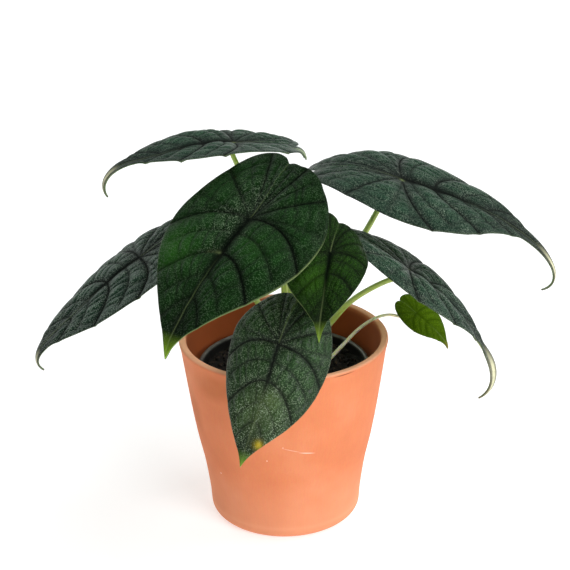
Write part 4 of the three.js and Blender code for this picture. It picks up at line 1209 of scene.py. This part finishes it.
CROWN_FOOT, CROWN_TOP = (corner.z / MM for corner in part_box("crown"))
CROWN_RADIUS, RING_SPACING, RING_DEPTH = 6.0, 3.2, 0.35
CROWN_STEPS, CROWN_SEGMENTS = 60, 40
t = np.linspace(0, 1, CROWN_STEPS)
crown_z = CROWN_FOOT + (CROWN_TOP - CROWN_FOOT) * t
crown_r = CROWN_RADIUS - RING_DEPTH * (1 + np.sin(crown_z * 2 * np.pi / RING_SPACING))
# The top fifth rounds over to the middle.
crown_r = crown_r * np.sqrt(1 - np.clip((t - 0.8) / 0.2, 0, 1) ** 2.5)
profile = np.vstack([[[0, CROWN_FOOT]], np.stack([crown_r, crown_z], axis=1)])
points, quads = turned(profile, CROWN_SEGMENTS)
points[:, :2] += CROWN_CENTRE * MM
make_piece("crown_ringed", points, quads, [crown_skin], ["crown"])

# %% [markdown]
# ## Studio
# The photograph was lit for a clean white background. The key light is a big softbox in front
# and to the right, and another hangs high on the right. Weaker ones behind the plant skim the
# leaves at a low angle, which draws out their quilting, and a weak one on the left fills the
# shadows. The pale floor runs far past the view and glows a little, most of all far from the
# lights, so that it stays white all the way. The world is brightest near the horizon, as the
# walls of a white studio are.

# %% Floor
studio_floor, tree = start_material("white_studio_sweep")
coordinates = add(tree, "TexCoord").outputs["Object"]
away = add(tree, "VectorMath", links={0: coordinates}, operation="LENGTH").outputs["Value"]
lit = add(tree, "MapRange", {"From Min": 1.0, "From Max": 2.6, "To Min": 0.55, "To Max": 0.95},
          {"Value": away}, interpolation_type="SMOOTHSTEP")
finish_material(studio_floor, {"Base Color": linear("#d2d2d2"), "Roughness": 0.9,
                               "Emission Color": linear("#ffffff")},
                {"Emission Strength": lit.outputs["Result"]})
FLOOR_SIZE = 14.0
floor_mesh = bpy.data.meshes.new("studio_floor")
half_floor = FLOOR_SIZE / 2
floor_mesh.from_pydata([(-half_floor, -half_floor, 0), (half_floor, -half_floor, 0),
                        (half_floor, half_floor, 0), (-half_floor, half_floor, 0)], [], [(0, 1, 2, 3)])
floor_mesh.materials.append(studio_floor)
floor = new_object("studio_floor", floor_mesh)
floor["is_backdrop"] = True
print("floor:", FLOOR_SIZE, "m wide")

# %% Lights
LIGHT_TARGET = np.array([0, 0, 0.15])
# Place and size in metres, watts and colour of the square area lights.
SOFTBOXES = {
    "key": [(1.02, -1.33, 1.04), 1.0, 26, "#ffffff"],
    "side": [(1.15, 0.2, 1.65), 1.2, 24, "#ffffff"],
    "back": [(-0.23, 0.86, 1.83), 1.2, 4, "#f6f9ff"],
    "rear": [(0.42, 1.66, 0.56), 0.8, 0.8, "#f0fff5"],
    "left_rear": [(-1.15, 1.25, 0.9), 1.2, 9, "#f0fff5"],
    "fill": [(-0.91, -1.08, 1.42), 1.2, 3.6, "#f6f9ff"],
}
for name, (place, size, watts, tint) in SOFTBOXES.items():
    data = bpy.data.lights.new(f"{name}_softbox", "AREA")
    data.size = size
    data.energy = watts
    data.color = linear(tint)[:3]
    # A light shines along its -Z axis, so its back points away from the target.
    back = np.array(place) - LIGHT_TARGET
    back /= np.linalg.norm(back)
    across = np.cross([0, 0, 1], back)
    across /= np.linalg.norm(across)
    light = new_object(f"{name}_softbox", data)
    light.matrix_world = standing(across, np.cross(back, across), back, place)
print("lights:", ", ".join(SOFTBOXES))

# %% World
world = bpy.data.worlds.new("white_studio")
world.use_nodes = True
tree = world.node_tree
direction = add(tree, "TexCoord").outputs["Generated"]
upward = add(tree, "SeparateXYZ", links={0: direction}).outputs["Z"]
# The walls' glow fades upwards, and a brighter band lies just above the horizon.
wall, band = (add(tree, "MapRange", {"From Max": height, "To Min": low, "To Max": high},
                  {"Value": upward}, interpolation_type="SMOOTHSTEP").outputs["Result"]
              for height, low, high in ((0.8, 0.42, 0.06), (0.1, 0.55, 0)))
glow = add(tree, "Math", links={0: wall, 1: band}, operation="ADD")
sky = tree.nodes["Background"]
sky.inputs["Color"].default_value = linear("#ffffff")
tree.links.new(glow.outputs["Value"], sky.inputs["Strength"])
bpy.context.scene.world = world
bpy.context.scene.view_settings.view_transform = "Standard"
print("world:", len(tree.nodes), "nodes, view transform", bpy.context.scene.view_settings.view_transform)

# %% Sizes
boxes = {"cad": [list(corner) for corner in cad_box], "visual": [list(corner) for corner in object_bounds()]}
for label, (low, high) in boxes.items():
    print(label, "box in mm:", (np.array(low) / MM).round(1), (np.array(high) / MM).round(1))
